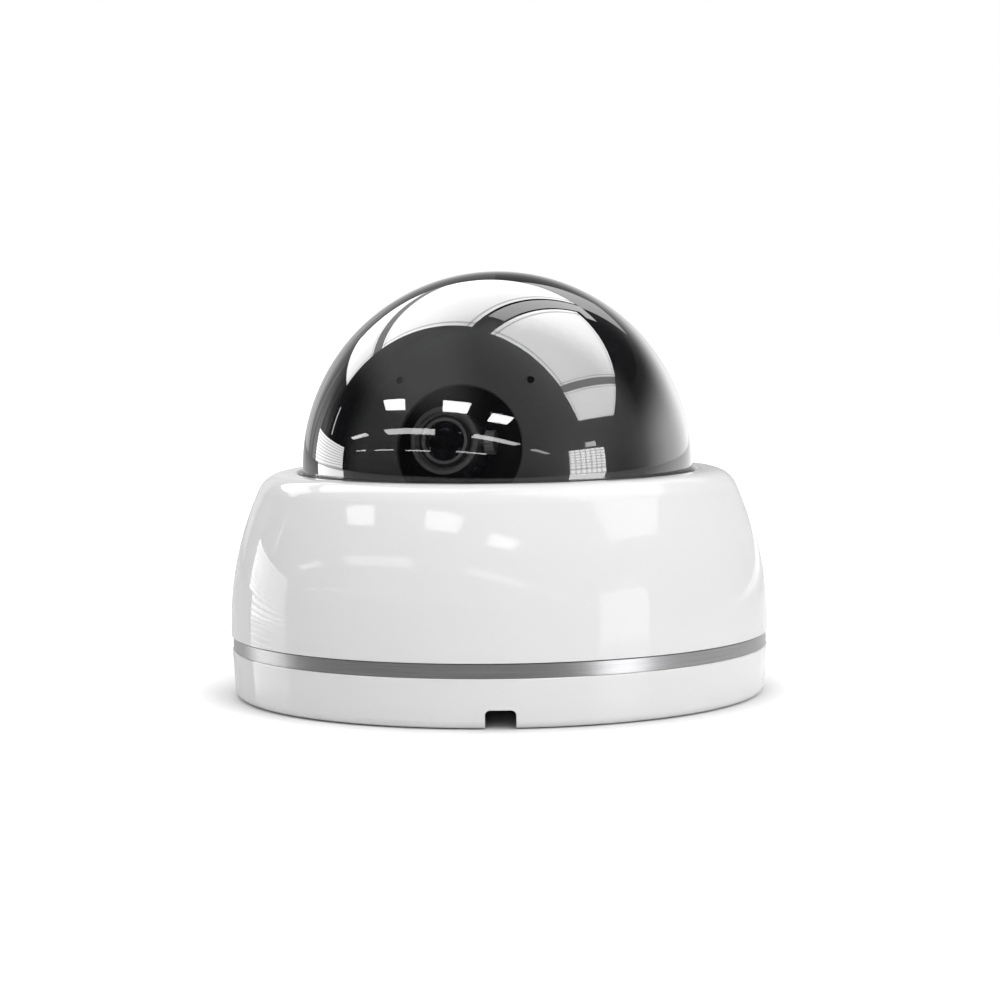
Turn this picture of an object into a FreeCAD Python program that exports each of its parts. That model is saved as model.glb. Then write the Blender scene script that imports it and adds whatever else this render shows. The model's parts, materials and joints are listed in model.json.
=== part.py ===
"""Dome CCTV camera: a round base, a lift-off cover with a smoked bubble, and a camera module
on a pan, tilt and rotate gimbal inside a dark liner.

Millimetres, +Z up.  The origin is the centre of the mounting face.  The side cable notch is
at -Y, and X runs to the right of someone who looks at that notch.
"""
import FreeCAD, Part
import math
import os
from FreeCAD import Placement, Rotation, Vector

# ---- fits ----------------------------------------------------------------------------------
running_fit = 0.05         # radial, for everything that turns or slides in a bore
screw_fit = 0.05           # radial, between a screw and its hole
seat_gap = 0.02            # between two curved faces that seat on each other
body_gap = 0.3             # between bodies that pass each other without touching

# ---- fasteners -----------------------------------------------------------------------------
screw_head_radius = 2.2
screw_head_height = 1.4
screw_shank_radius = 1.2
fine_head_radius = 1.8
fine_head_height = 1.2
fine_shank_radius = 0.95

# ---- base ----------------------------------------------------------------------------------
base_ring_height = 11.3
base_edge_round = 1.8
base_draft = 3.5           # degrees that the outer face leans in towards its foot
base_top_bevel = 0.25
base_wall = 2.5
spigot_gap = 0.6           # between the spigot and the inside of the cover
foot_width = 7.0           # from the outer face in to the hollow underneath
cable_space = 4.6          # height of the hollow under the floor
floor_thickness = 2.4
spigot_height = 8.6        # above the base ring, inside the cover
gasket_depth = 1.5
gasket_width = 2.4
gasket_inset = 3.2         # from the outer face to the gasket

notch_width = 7.0
notch_height = 4.25
notch_round = 1.2

mount_pcd = 84.0
mount_hole_radius = 2.25
mount_boss_radius = 5.0
mount_count = 3

grommet_distance = 32.0    # from the axis, towards the notch
grommet_bore = 3.0
grommet_neck = 5.0
grommet_lip = 1.2          # how far each lip stands out past the neck
grommet_lip_thickness = 1.0

trim_height = 3.3
trim_recess = 0.25
cover_gap = 0.2            # shadow line between the trim and the cover

clip_width = 7.0
clip_thickness = 0.3
clip_drop = 5.0
clip_count = 3

# ---- cover and bubble ----------------------------------------------------------------------
cover_wall = 2.5
cover_overhang = 0.2       # how far the cover stands out past the base
crest_width = 3.775        # from the rim out to the start of the shoulder
cover_straight_top = 16.75 # height where the barrel curve starts
barrel_radius = 78.0
barrel_angle = 25.0
shoulder_radius = 6.75
lip_round = 1.5
rim_gap = 0.7              # between the bubble and the cover's rim

dome_radius = 47.3
dome_wall = 2.3
dome_flange_width = 3.0
dome_flange_thickness = 2.0
seal_thickness = 0.8
seal_width = 2.0

clamp_thickness = 2.0
clamp_inner_step = 0.8     # how much wider the clamp ring's bore is than the bubble's
clamp_ring_edge = 2.2      # ring outside the screw circle
clamp_boss_radius = 2.4
clamp_screw_length = 5.2
clamp_screw_count = 4

# ---- liner, yoke and cradle: nested spheres about the centre -----------------------------------
liner_gap = 1.5            # between the bubble and the liner
liner_wall = 1.5
liner_opening = 14.6       # radius of the hole that the lens looks through
liner_rim_round = 0.35
liner_pole_angle = 76.0    # from the lens axis up to the middle of the liner
liner_half_angle = 99.0    # from there to its edge
liner_screw_side = 15.5    # the two screws, to each side of the lens axis
liner_screw_rise = 16.3    # and above it
liner_screw_radius = 0.85
liner_screw_recess = 0.5
liner_screw_length = 12.0
liner_slot_depth = 0.4
liner_boss_radius = 2.3

yoke_gap = 1.3             # between the liner and the yoke
yoke_thickness = 2.0
yoke_width = 14.0
yoke_root = 10.7           # from the pan axis out to where each arm leaves the flat middle
yoke_plate_margin = 1.5    # the flat middle past the arms' roots

bush_flange = 0.5
bush_flange_radius = 4.5
bush_wall = 1.2
pivot_radius = 2.0
pivot_head_radius = 3.6
pivot_head_height = 1.7
tilt_side_gap = 0.2        # between the bush flange and the cradle

cradle_wall = 2.1
cradle_wing_half_width = 11.0
cradle_wing_back = 6.5     # behind the tilt axis
cradle_plate_setback = 27.0  # along the lens axis, from inside the liner to the plate's face
cradle_plate_thickness = 3.0
cradle_plate_bite = 0.9    # how deep the plate's edge runs into the wings

# ---- pan bearing ---------------------------------------------------------------------------
hub_radius = 9.0
hub_bore = 6.0
turntable_radius = 12.4
turntable_thickness = 2.0
washer_thickness = 0.25
washer_lift = 0.05         # between the washer and the turntable
pan_boss_height = 4.3      # above the floor
pan_boss_radius = 14.0
pan_flange_radius = 22.0
pan_flange_thickness = 2.0
pan_screw_circle = 18.0
pan_retainer_radius = 12.0
pan_retainer_thickness = 1.6
pan_retainer_gap = 0.2
floor_hole_clearance = 1.0

# ---- main board ----------------------------------------------------------------------------
board_inner = 23.0
board_outer = 37.0
board_thickness = 1.6
board_lift = 2.5           # height of the pillars under the board
board_slot_width = 16.0    # open above the cable grommet
pillar_radius = 2.6
pillar_hole_depth = 1.6    # into the floor
header_width = 5.2
header_length = 11.0
header_height = 5.5
header_wall = 0.8
header_pin = 0.6
header_pitch = 2.0
capacitor_radius = 3.15
capacitor_height = 5.6
chip_side = 8.0
chip_height = 1.1
switch_side = 6.0
switch_height = 3.4
button_radius = 1.75
button_height = 5.0        # its top, above the board
button_foot = 1.5          # its lower end, above the board

# ---- camera module -------------------------------------------------------------------------
module_board = 32.0
module_board_hole = 13.5   # screw holes, from the module's axis, both ways
module_board_round = 1.5
module_pillar_radius = 1.9
module_header_length = 13.0
module_header_width = 4.4
module_header_height = 4.0
spacer_length = 4.0
holder_pillar = 2.0
holder_flange_width = 4.05 # how far the flange and the retainer stand out past the hub
retainer_width = 2.65
holder_flange_thickness = 2.0
holder_hub_radius = 16.95
holder_hub_wall = 2.35
holder_side_gap = 0.2      # between the holder's flange and the cradle
retainer_thickness = 1.3
retainer_gap = 0.1
shroud_height = 5.3
shroud_wall = 1.3

lens_offset_side = -4.9    # the lens from the module's axis: to the left,
lens_offset_up = 2.4       # and up
mount_side_gap = 0.744     # between the lens mount and the inside of the hub
mount_height = 16.2        # these heights are above the sensor board
sensor_size = 8.0
sensor_height = 1.0
filter_height = 2.6        # above the sensor board
filter_thickness = 0.6

lens_barrel_radius = 6.0
lens_barrel_height = 5.2   # its back end, above the sensor board
lens_barrel_length = 22.4
focus_ring_radius = 8.0
focus_ring_height = 17.0   # its back end, above the sensor board
focus_ring_length = 11.0
focus_groove_radius = 7.0
focus_groove_depth = 1.7
grip_start = 1.4           # the grip, from the ring's back end
grip_length = 2.8
grip_groove_radius = 0.5
grip_groove_count = 24
front_glass_radius = 4.95
front_glass_edge = 2.5
front_glass_crown = 0.9
retainer_bore = 4.7
retainer_ring_radius = 5.4
retainer_ring_thickness = 1.0
inner_glass_radius = 4.0
inner_glass_thickness = 2.0
rear_glass_inset = 1.5     # from the barrel's back end
middle_glass_inset = 11.0

lock_start = 6.8           # the thumbscrew's axis, from the ring's back end
lock_shank_radius = 0.9
lock_head_radius = 2.8
lock_head_gap = 1.1        # between the focus ring and the screw's head
lock_head_thickness = 2.2
lock_groove_radius = 0.3
lock_groove_count = 18
lock_tip_gap = 0.35        # between the screw's tip and the barrel

# ---- pose at rest --------------------------------------------------------------------------
pan_at_rest = -12.5        # turned towards -X
tilt_at_rest = 9.5         # lens above the horizon

# ---- heights and radii that follow ---------------------------------------------------------
floor_top = cable_space + floor_thickness
spigot_top = base_ring_height + spigot_height
cover_bottom = base_ring_height + trim_height + cover_gap

barrel_cos = math.cos(math.radians(barrel_angle))
barrel_sin = math.sin(math.radians(barrel_angle))
rim_radius = dome_radius + rim_gap
shoulder_centre_radius = rim_radius + crest_width
barrel_end_radius = shoulder_centre_radius + shoulder_radius * barrel_cos
cover_radius = barrel_end_radius + barrel_radius * (1.0 - barrel_cos)
barrel_end_height = cover_straight_top + barrel_radius * barrel_sin
shoulder_centre_height = barrel_end_height - shoulder_radius * barrel_sin
crest_height = shoulder_centre_height + shoulder_radius
base_radius = cover_radius - cover_overhang
shelf_inner = cover_radius - cover_wall - spigot_gap        # outer face of the spigot
spigot_wall_inner = shelf_inner - base_wall

lip_underside = crest_height - cover_wall
dome_flange_top = lip_underside - seal_thickness
dome_flange_bottom = dome_flange_top - dome_flange_thickness
dome_flange_radius = dome_radius + dome_flange_width
clamp_bottom = dome_flange_bottom - clamp_thickness
clamp_screw_circle = dome_flange_radius + body_gap + clamp_boss_radius
dome_inner = dome_radius - dome_wall

liner_radius = dome_inner - liner_gap
liner_inner = liner_radius - liner_wall
yoke_outer = liner_inner - yoke_gap
yoke_inner = yoke_outer - yoke_thickness
yoke_root_angle = math.degrees(math.asin(yoke_root / yoke_inner))
yoke_screw_reach = (hub_bore + yoke_root) / 2.0
cradle_outer = yoke_inner - bush_flange - tilt_side_gap
cradle_inner = cradle_outer - cradle_wall

pan_base_top = floor_top + pan_boss_height
turntable_bottom = pan_base_top + washer_thickness + washer_lift
turntable_top = turntable_bottom + turntable_thickness
centre_height = turntable_top + yoke_outer     # where the pan and tilt axes meet
hub_bottom = floor_top - pan_retainer_gap - pan_retainer_thickness
board_bottom = floor_top + board_lift
board_top = board_bottom + board_thickness
board_middle = (board_inner + board_outer) / 2.0

holder_flange_radius = holder_hub_radius + holder_flange_width
retainer_radius = holder_hub_radius + retainer_width
lens_offset = math.hypot(lens_offset_side, lens_offset_up)
mount_radius = holder_hub_radius - holder_hub_wall - lens_offset - mount_side_gap
cradle_plate_front = liner_inner - cradle_plate_setback
cradle_plate_back = cradle_plate_front - cradle_plate_thickness
cradle_plate_radius = math.sqrt(cradle_inner ** 2 - cradle_plate_front ** 2) + cradle_plate_bite
holder_flange_front = cradle_plate_back - holder_side_gap
holder_flange_back = holder_flange_front - holder_flange_thickness
holder_front = cradle_plate_front + retainer_gap + retainer_thickness
sensor_board_front = holder_flange_back - holder_pillar
sensor_board_back = sensor_board_front - board_thickness
signal_board_front = sensor_board_back - spacer_length
signal_board_rear = signal_board_front - board_thickness
lens_barrel_back = sensor_board_front + lens_barrel_height
lens_barrel_front = lens_barrel_back + lens_barrel_length
focus_ring_back = sensor_board_front + focus_ring_height
focus_ring_front = focus_ring_back + focus_ring_length
glass_seat = lens_barrel_front - retainer_ring_thickness - front_glass_edge
lock_position = focus_ring_back + lock_start
lock_head_inner = focus_ring_radius + lock_head_gap
UP = Vector(0, 0, 1)


# ---- helpers -------------------------------------------------------------------------------
def cylinder(radius, low, high, x=0.0, y=0.0):
    return Part.makeCylinder(radius, high - low, Vector(x, y, low), UP)


def ring(outer, inner, low, high, x=0.0, y=0.0):
    return cylinder(outer, low, high, x, y).cut(cylinder(inner, low - 1, high + 1, x, y))


def block(x0, x1, y0, y1, z0, z1):
    return Part.makeBox(x1 - x0, y1 - y0, z1 - z0, Vector(x0, y0, z0))


def shell(outer, inner):
    """A hollow ball about the origin."""
    return Part.makeSphere(outer).cut(Part.makeSphere(inner))


def point(radius, height):
    """A point of a turned outline: distance from the axis, and height."""
    return Vector(radius, 0, height)


def on_circle(centre_radius, centre_z, radius, angle):
    """A point of a turned outline on a circle, with the angle up from the radial direction."""
    turn = math.radians(angle)
    return point(centre_radius + radius * math.cos(turn), centre_z + radius * math.sin(turn))


def line(start, end):
    return Part.LineSegment(start, end).toShape()


def arc(start, middle, end):
    return Part.Arc(start, middle, end).toShape()


def turned(edges, angle=360.0):
    """The solid that a closed outline in the XZ plane sweeps around the Z axis."""
    return Part.Face(Part.Wire(edges)).revolve(Vector(0, 0, 0), UP, angle)


def polyline(points):
    """Straight edges through the points and back to the first."""
    return [line(a, b) for a, b in zip(points, points[1:] + points[:1])]


def around_z(shape, angle):
    copy = shape.copy()
    copy.rotate(Vector(0, 0, 0), UP, angle)
    return copy


def copies_around(shape, count, first_angle=0.0):
    """Equal copies around the Z axis."""
    return [around_z(shape, first_angle + i * 360.0 / count) for i in range(count)]


def screw(length, x, y, seat, up=True, fine=False):
    """A pan-head screw whose head rests on the height `seat`; its shank points down, or up."""
    head_radius = fine_head_radius if fine else screw_head_radius
    head_height = fine_head_height if fine else screw_head_height
    shank_radius = fine_shank_radius if fine else screw_shank_radius
    head = Part.makeCylinder(head_radius, head_height)
    rounded = head.makeFillet(head_height * 0.45, [e for e in head.Edges
                              if e.BoundBox.ZMin > head_height * 0.9])
    slot_depth = head_height * 0.5
    slots = [Part.makeBox(a, b, slot_depth + 1, Vector(-a / 2, -b / 2, head_height - slot_depth))
             for a, b in ((head_radius * 1.2, head_radius * 0.28),
                          (head_radius * 0.28, head_radius * 1.2))]
    shank = Part.makeCylinder(shank_radius, length + head_height / 4,
                              Vector(0, 0, -length))
    body = rounded.fuse(shank).cut(slots[0].fuse(slots[1]))
    if not up:
        body.rotate(Vector(0, 0, 0), Vector(1, 0, 0), 180)
    body.translate(Vector(x, y, seat))
    return body


def screw_hole(x, y, low, high, fine=False):
    shank_radius = fine_shank_radius if fine else screw_shank_radius
    return cylinder(shank_radius + screw_fit, low, high, x, y)


def notched_edge(shape, radius, groove_radius, low, high, count):
    """Cuts a grip of upright grooves into a round edge about the Z axis."""
    groove = cylinder(groove_radius, low, high, x=radius)
    return shape.cut(Part.makeCompound(copies_around(groove, count)))


def along_lens():
    """Takes a shape whose +Z is the lens axis, and whose +Y is up, to its place at rest."""
    turn = Rotation(UP, pan_at_rest).multiply(Rotation(Vector(1, 0, 0), 90.0 - tilt_at_rest))
    return Placement(Vector(0, 0, centre_height), turn)


def panned():
    return Placement(Vector(0, 0, 0), Rotation(UP, pan_at_rest))


def placed(shape, placement):
    copy = shape.copy()
    copy.Placement = placement.multiply(copy.Placement)
    return copy


def save(name, *shapes, at=None):
    """Writes one node: its solids, moved to their place."""
    solids = [s for shape in shapes for s in shape.removeSplitter().Solids]
    whole = solids[0] if len(solids) == 1 else Part.makeCompound(solids)
    if at is not None:
        whole = placed(whole, at)
    whole.exportStep(f"parts/{name}.step")
    print(f"{name:18} {len(solids)} solid(s) {whole.Volume / 1000:8.3f} cm3 valid {whole.isValid()}")


# ---- base ----------------------------------------------------------------------------------
def mount_bosses(radius, low, high):
    """The three fixing places: one opposite the notch, two beside it."""
    return Part.makeCompound(copies_around(
        cylinder(radius, low, high, x=mount_pcd / 2), mount_count, first_angle=90.0))


def places_around(radius, angles):
    return [(radius * math.cos(math.radians(a)), radius * math.sin(math.radians(a)))
            for a in angles]


def pillar_places():
    return places_around(board_middle, (45.0, 135.0, 225.0, 315.0))


def pan_screw_places():
    return places_around(pan_screw_circle, (30.0, 150.0, 270.0))


def notch_tool():
    """The side cable exit, with its two upper corners rounded."""
    outer = base_radius + 1.0
    inner = base_radius - foot_width - 1.0
    tool = block(-notch_width / 2, notch_width / 2, -outer, -inner, -1.0, notch_height)
    upper = [e for e in tool.Edges if e.BoundBox.ZMin > notch_height - 0.01
             and e.BoundBox.YLength > 1.0]
    return tool.makeFillet(notch_round, upper)


def base_housing():
    rounded = base_edge_round
    lean = math.radians(base_draft)
    side_height = base_ring_height - base_top_bevel - rounded * (1.0 - math.sin(lean))
    corner_x = base_radius - side_height * math.tan(lean) - rounded * math.cos(lean)
    corner = on_circle(corner_x, rounded, rounded, -45.0)
    side_foot = on_circle(corner_x, rounded, rounded, -base_draft)
    outline = [
        arc(point(corner_x, 0), corner, side_foot),
        line(side_foot, point(base_radius, base_ring_height - base_top_bevel)),
        line(point(base_radius, base_ring_height - base_top_bevel),
             point(base_radius - base_top_bevel, base_ring_height)),
        line(point(base_radius - base_top_bevel, base_ring_height),
             point(shelf_inner, base_ring_height)),
        line(point(shelf_inner, base_ring_height), point(shelf_inner, spigot_top)),
        line(point(shelf_inner, spigot_top), point(spigot_wall_inner, spigot_top)),
        line(point(spigot_wall_inner, spigot_top), point(spigot_wall_inner, floor_top)),
        line(point(spigot_wall_inner, floor_top), point(0, floor_top)),
        line(point(0, floor_top), point(0, cable_space)),
        line(point(0, cable_space), point(base_radius - foot_width, cable_space)),
        line(point(base_radius - foot_width, cable_space), point(base_radius - foot_width, 0)),
        line(point(base_radius - foot_width, 0), point(corner_x, 0)),
    ]
    body = turned(outline)
    body = body.fuse(mount_bosses(mount_boss_radius, 0.0, cable_space + floor_thickness / 2))
    pillars = [cylinder(pillar_radius, floor_top - 0.5, board_bottom, x, y)
               for x, y in pillar_places()]
    body = body.fuse(pillars)
    cuts = [mount_bosses(mount_hole_radius, -1.0, floor_top + 1.0), notch_tool(),
            cylinder(pan_retainer_radius + floor_hole_clearance, 0.0, floor_top + 1.0),
            cylinder(grommet_neck, 0.0, floor_top + 1.0, y=-grommet_distance), gasket_groove()]
    cuts += [screw_hole(x, y, floor_top - pillar_hole_depth, board_bottom + 1)
             for x, y in pillar_places()]
    cuts += [screw_hole(x, y, cable_space - 1, floor_top + 1) for x, y in pan_screw_places()]
    return body.cut(cuts)


def gasket_groove():
    outer = base_radius - gasket_inset
    return ring(outer, outer - gasket_width, -1.0, gasket_depth)


def mounting_gasket():
    outer = base_radius - gasket_inset
    return ring(outer, outer - gasket_width, 0.0, gasket_depth).cut(notch_tool())


def trim_ring():
    outer = base_radius - trim_recess
    low = base_ring_height
    high = low + trim_height
    bevel = base_top_bevel / 2
    return turned(polyline([
        point(outer - bevel, low), point(outer, low + bevel), point(outer, high - bevel),
        point(outer - bevel, high), point(shelf_inner + screw_fit, high),
        point(shelf_inner + screw_fit, low)]))


def cable_grommet():
    lip = grommet_neck + grommet_lip
    low = cable_space - grommet_lip_thickness
    high = floor_top + grommet_lip_thickness
    body = cylinder(grommet_neck - seat_gap, low, high, y=-grommet_distance)
    body = body.fuse([cylinder(lip, low, cable_space, y=-grommet_distance),
                      cylinder(lip, floor_top, high, y=-grommet_distance)])
    return body.cut(cylinder(grommet_bore, low - 1, high + 1, y=-grommet_distance))


def cover_clips():
    """Spring clips over the spigot's edge, which grip the inside of the cover."""
    inner = spigot_wall_inner - clip_thickness
    outer = shelf_inner + clip_thickness
    top = spigot_top + clip_thickness
    foot = spigot_top - clip_drop
    sweep = math.degrees(clip_width / shelf_inner)
    clip = turned(polyline([
        point(inner, foot), point(spigot_wall_inner, foot), point(spigot_wall_inner, spigot_top),
        point(shelf_inner, spigot_top), point(shelf_inner, foot), point(outer, foot),
        point(outer, top), point(inner, top)]), sweep)
    return copies_around(clip, clip_count, first_angle=30.0 - sweep / 2)


# ---- pan bearing and main board ---------------------------------------------------------------
def pan_base():
    bore = hub_radius + running_fit
    body = cylinder(pan_flange_radius, floor_top, floor_top + pan_flange_thickness)
    body = body.fuse(cylinder(pan_boss_radius, floor_top, pan_base_top))
    holes = [screw_hole(x, y, floor_top - 1, floor_top + pan_flange_thickness + 1)
             for x, y in pan_screw_places()]
    return body.cut(holes + [cylinder(bore, floor_top - 1, pan_base_top + 1)])


def pan_base_screws():
    seat = floor_top + pan_flange_thickness
    return [screw(pan_flange_thickness + floor_thickness - body_gap, x, y, seat)
            for x, y in pan_screw_places()]


def friction_washer():
    return ring(pan_boss_radius - 0.5, hub_radius + 4 * running_fit, pan_base_top,
                pan_base_top + washer_thickness)


def main_board():
    body = ring(board_outer, board_inner, board_bottom, board_top)
    slot = block(-board_slot_width / 2, board_slot_width / 2, -board_outer - 1, 0,
                 board_bottom - 1, board_top + 1)
    holes = [screw_hole(x, y, board_bottom - 1, board_top + 1) for x, y in pillar_places()]
    return body.cut([slot] + holes)


def board_screws():
    return [screw(board_thickness + board_lift, x, y, board_top) for x, y in pillar_places()]


def board_headers():
    """Two open-topped sockets with a row of pins."""
    half_width, half_length = header_width / 2, header_length / 2
    body = block(board_middle - half_width, board_middle + half_width, -half_length, half_length,
                 board_top, board_top + header_height)
    body = body.cut(block(board_middle - half_width + header_wall,
                          board_middle + half_width - header_wall,
                          -half_length + header_wall, half_length - header_wall,
                          board_top + header_wall, board_top + header_height + 1))
    half_pin = header_pin / 2
    pins = [block(board_middle - half_pin, board_middle + half_pin,
                  step * header_pitch - half_pin, step * header_pitch + half_pin,
                  board_top + header_wall / 2, board_top + header_height - header_wall)
            for step in (-1.5, -0.5, 0.5, 1.5)]
    header = body.fuse(pins)
    return [around_z(header, angle) for angle in (0.0, 90.0)]


def board_capacitors():
    can = cylinder(capacitor_radius, board_top, board_top + capacitor_height, x=board_middle + 1.0)
    top = board_top + capacitor_height * 0.9
    can = can.makeFillet(capacitor_radius * 0.15, [e for e in can.Edges if e.BoundBox.ZMin > top])
    return [around_z(can, angle) for angle in (66.0, 114.0, 180.0)]


def board_chips():
    half = chip_side / 2
    chip = block(board_middle - half, board_middle + half, -half, half,
                 board_top, board_top + chip_height)
    return [around_z(chip, angle) for angle in (158.0, 204.0, 336.0)]


def switch_place():
    return places_around(board_middle, (292.0,))[0]


def reset_switch():
    x, y = switch_place()
    half = switch_side / 2
    body = block(x - half, x + half, y - half, y + half, board_top, board_top + switch_height)
    return body.cut(cylinder(button_radius + running_fit, board_top + button_foot / 2,
                             board_top + switch_height + 1, x, y))


def reset_button():
    x, y = switch_place()
    return cylinder(button_radius, board_top + button_foot, board_top + button_height, x, y)


# ---- cover ---------------------------------------------------------------------------------
def cover_outline():
    """The wall from its lower edge over the crest to the rim, and back inside."""
    barrel_x = cover_radius - barrel_radius
    inner_radius = cover_radius - cover_wall
    half = barrel_angle / 2
    upper = (barrel_angle + 90.0) / 2
    outer_top = point(shoulder_centre_radius, crest_height)
    lip_start = point(rim_radius + lip_round, crest_height)
    lip_middle = on_circle(rim_radius + lip_round, crest_height - lip_round, lip_round, 135.0)
    lip_end = point(rim_radius, crest_height - lip_round)
    under_radius = shoulder_radius - cover_wall
    under_barrel = barrel_radius - cover_wall
    return [
        line(point(cover_radius, cover_bottom), point(cover_radius, cover_straight_top)),
        arc(point(cover_radius, cover_straight_top),
            on_circle(barrel_x, cover_straight_top, barrel_radius, half),
            point(barrel_end_radius, barrel_end_height)),
        arc(point(barrel_end_radius, barrel_end_height),
            on_circle(shoulder_centre_radius, shoulder_centre_height, shoulder_radius, upper),
            outer_top),
        line(outer_top, lip_start),
        arc(lip_start, lip_middle, lip_end),
        line(lip_end, point(rim_radius, lip_underside)),
        line(point(rim_radius, lip_underside), point(shoulder_centre_radius, lip_underside)),
        arc(point(shoulder_centre_radius, shoulder_centre_height + under_radius),
            on_circle(shoulder_centre_radius, shoulder_centre_height, under_radius, upper),
            on_circle(shoulder_centre_radius, shoulder_centre_height, under_radius,
                      barrel_angle)),
        arc(on_circle(barrel_x, cover_straight_top, under_barrel, barrel_angle),
            on_circle(barrel_x, cover_straight_top, under_barrel, half),
            point(inner_radius, cover_straight_top)),
        line(point(inner_radius, cover_straight_top), point(inner_radius, cover_bottom)),
        line(point(inner_radius, cover_bottom), point(cover_radius, cover_bottom)),
    ]


def clamp_screw_places():
    step = 360.0 / clamp_screw_count
    return places_around(clamp_screw_circle, [step * (i + 0.5) for i in range(clamp_screw_count)])


def cover_shell():
    body = turned(cover_outline())
    bosses = [cylinder(clamp_boss_radius, dome_flange_bottom, lip_underside + 0.5, x, y)
              for x, y in clamp_screw_places()]
    holes = [screw_hole(x, y, dome_flange_bottom - 1, clamp_bottom + clamp_screw_length + body_gap)
             for x, y in clamp_screw_places()]
    return body.fuse(bosses).cut(holes)


def dome_bubble():
    """The smoked bubble: a half ball, a short skirt and the flange that holds it."""
    turn = 45.0
    flange = dome_flange_radius
    centre = centre_height
    return turned([
        arc(point(dome_radius, centre), on_circle(0, centre, dome_radius, turn),
            point(0, centre + dome_radius)),
        line(point(0, centre + dome_radius), point(0, centre + dome_inner)),
        arc(point(0, centre + dome_inner), on_circle(0, centre, dome_inner, turn),
            point(dome_inner, centre)),
        line(point(dome_inner, centre), point(dome_inner, dome_flange_bottom)),
        line(point(dome_inner, dome_flange_bottom), point(flange, dome_flange_bottom)),
        line(point(flange, dome_flange_bottom), point(flange, dome_flange_top)),
        line(point(flange, dome_flange_top), point(dome_radius, dome_flange_top)),
        line(point(dome_radius, dome_flange_top), point(dome_radius, centre)),
    ])


def dome_seal():
    return ring(dome_flange_radius, dome_flange_radius - seal_width, dome_flange_top,
                lip_underside)


def clamp_ring():
    body = ring(clamp_screw_circle + clamp_ring_edge, dome_inner + clamp_inner_step,
                clamp_bottom, dome_flange_bottom)
    return body.cut([screw_hole(x, y, clamp_bottom - 1, dome_flange_bottom + 1)
                     for x, y in clamp_screw_places()])


def clamp_screws():
    return [screw(clamp_screw_length, x, y, clamp_bottom, up=False)
            for x, y in clamp_screw_places()]


# ---- pan body: turntable and yoke ----------------------------------------------------------------
def yoke_screw_places():
    return [(-yoke_screw_reach, 0.0), (yoke_screw_reach, 0.0)]


def turntable():
    body = cylinder(turntable_radius, turntable_bottom, turntable_top)
    body = body.fuse(cylinder(hub_radius, hub_bottom, turntable_top))
    holes = [screw_hole(x, y, turntable_bottom - 1, turntable_top + 1)
             for x, y in yoke_screw_places()]
    return body.cut(holes + [cylinder(hub_bore, hub_bottom - 1, turntable_top + 1)])


def pan_retainer():
    """The snap ring under the bearing that keeps the hub from lifting out."""
    return ring(pan_retainer_radius, hub_radius, hub_bottom,
                hub_bottom + pan_retainer_thickness)


def yoke_arm():
    """One arm: an arc from the flat middle out to the pivot, as a sector of a ring."""
    half = yoke_width / 2
    start = -90.0 + yoke_root_angle
    middle = start / 2
    edges = [
        arc(on_circle(0, 0, yoke_outer, start), on_circle(0, 0, yoke_outer, middle),
            point(yoke_outer, 0)),
        line(point(yoke_outer, 0), point(yoke_inner, 0)),
        arc(point(yoke_inner, 0), on_circle(0, 0, yoke_inner, middle),
            on_circle(0, 0, yoke_inner, start)),
        line(on_circle(0, 0, yoke_inner, start), on_circle(0, 0, yoke_outer, start)),
    ]
    arm = Part.Face(Part.Wire(edges)).extrude(Vector(0, yoke_width, 0))
    arm.translate(Vector(0, -half, centre_height))
    eye = Part.makeCylinder(half, yoke_thickness, Vector(yoke_inner, 0, centre_height),
                            Vector(1, 0, 0))
    return arm.fuse(eye)


def across(radius, start, end):
    """A cylinder along the tilt axis, in the pan frame."""
    return Part.makeCylinder(radius, end - start, Vector(start, 0, centre_height),
                             Vector(1, 0, 0))


def yoke():
    reach = yoke_root * yoke_outer / yoke_inner + yoke_plate_margin
    half = yoke_width / 2
    face_depth = yoke_thickness * 1.5
    plate = block(-reach, reach, -half, half, turntable_top, turntable_top + yoke_thickness)
    arm = yoke_arm()
    body = plate.fuse([arm, around_z(arm, 180.0)])
    bush_hole = pivot_radius + running_fit + bush_wall
    cuts = [across(bush_hole, -yoke_outer - 1, -yoke_inner + 1),
            across(bush_hole, yoke_inner - 1, yoke_outer + 1),
            across(bush_flange_radius + seat_gap, -yoke_inner, -yoke_inner + face_depth),
            across(bush_flange_radius + seat_gap, yoke_inner - face_depth, yoke_inner),
            cylinder(hub_bore, turntable_top - 1, turntable_top + yoke_thickness + 1)]
    cuts += [screw_hole(x, y, turntable_top - 1, turntable_top + yoke_thickness + 1)
             for x, y in yoke_screw_places()]
    return body.cut(cuts)


def yoke_screws():
    return [screw(yoke_thickness + turntable_thickness - body_gap, x, y,
                  turntable_top + yoke_thickness) for x, y in yoke_screw_places()]


def tilt_bushes():
    bore = pivot_radius + running_fit
    bush = across(bore + bush_wall, yoke_inner - bush_flange, yoke_outer)
    bush = bush.fuse(across(bush_flange_radius, yoke_inner - bush_flange, yoke_inner))
    bush = bush.cut(across(bore, yoke_inner - 2, yoke_outer + 2))
    return [bush, around_z(bush, 180.0)]


# ---- tilt body, with +Z along the lens axis and +Y up -------------------------------------------
def liner_screw_places():
    return [(-liner_screw_side, liner_screw_rise), (liner_screw_side, liner_screw_rise)]


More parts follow.
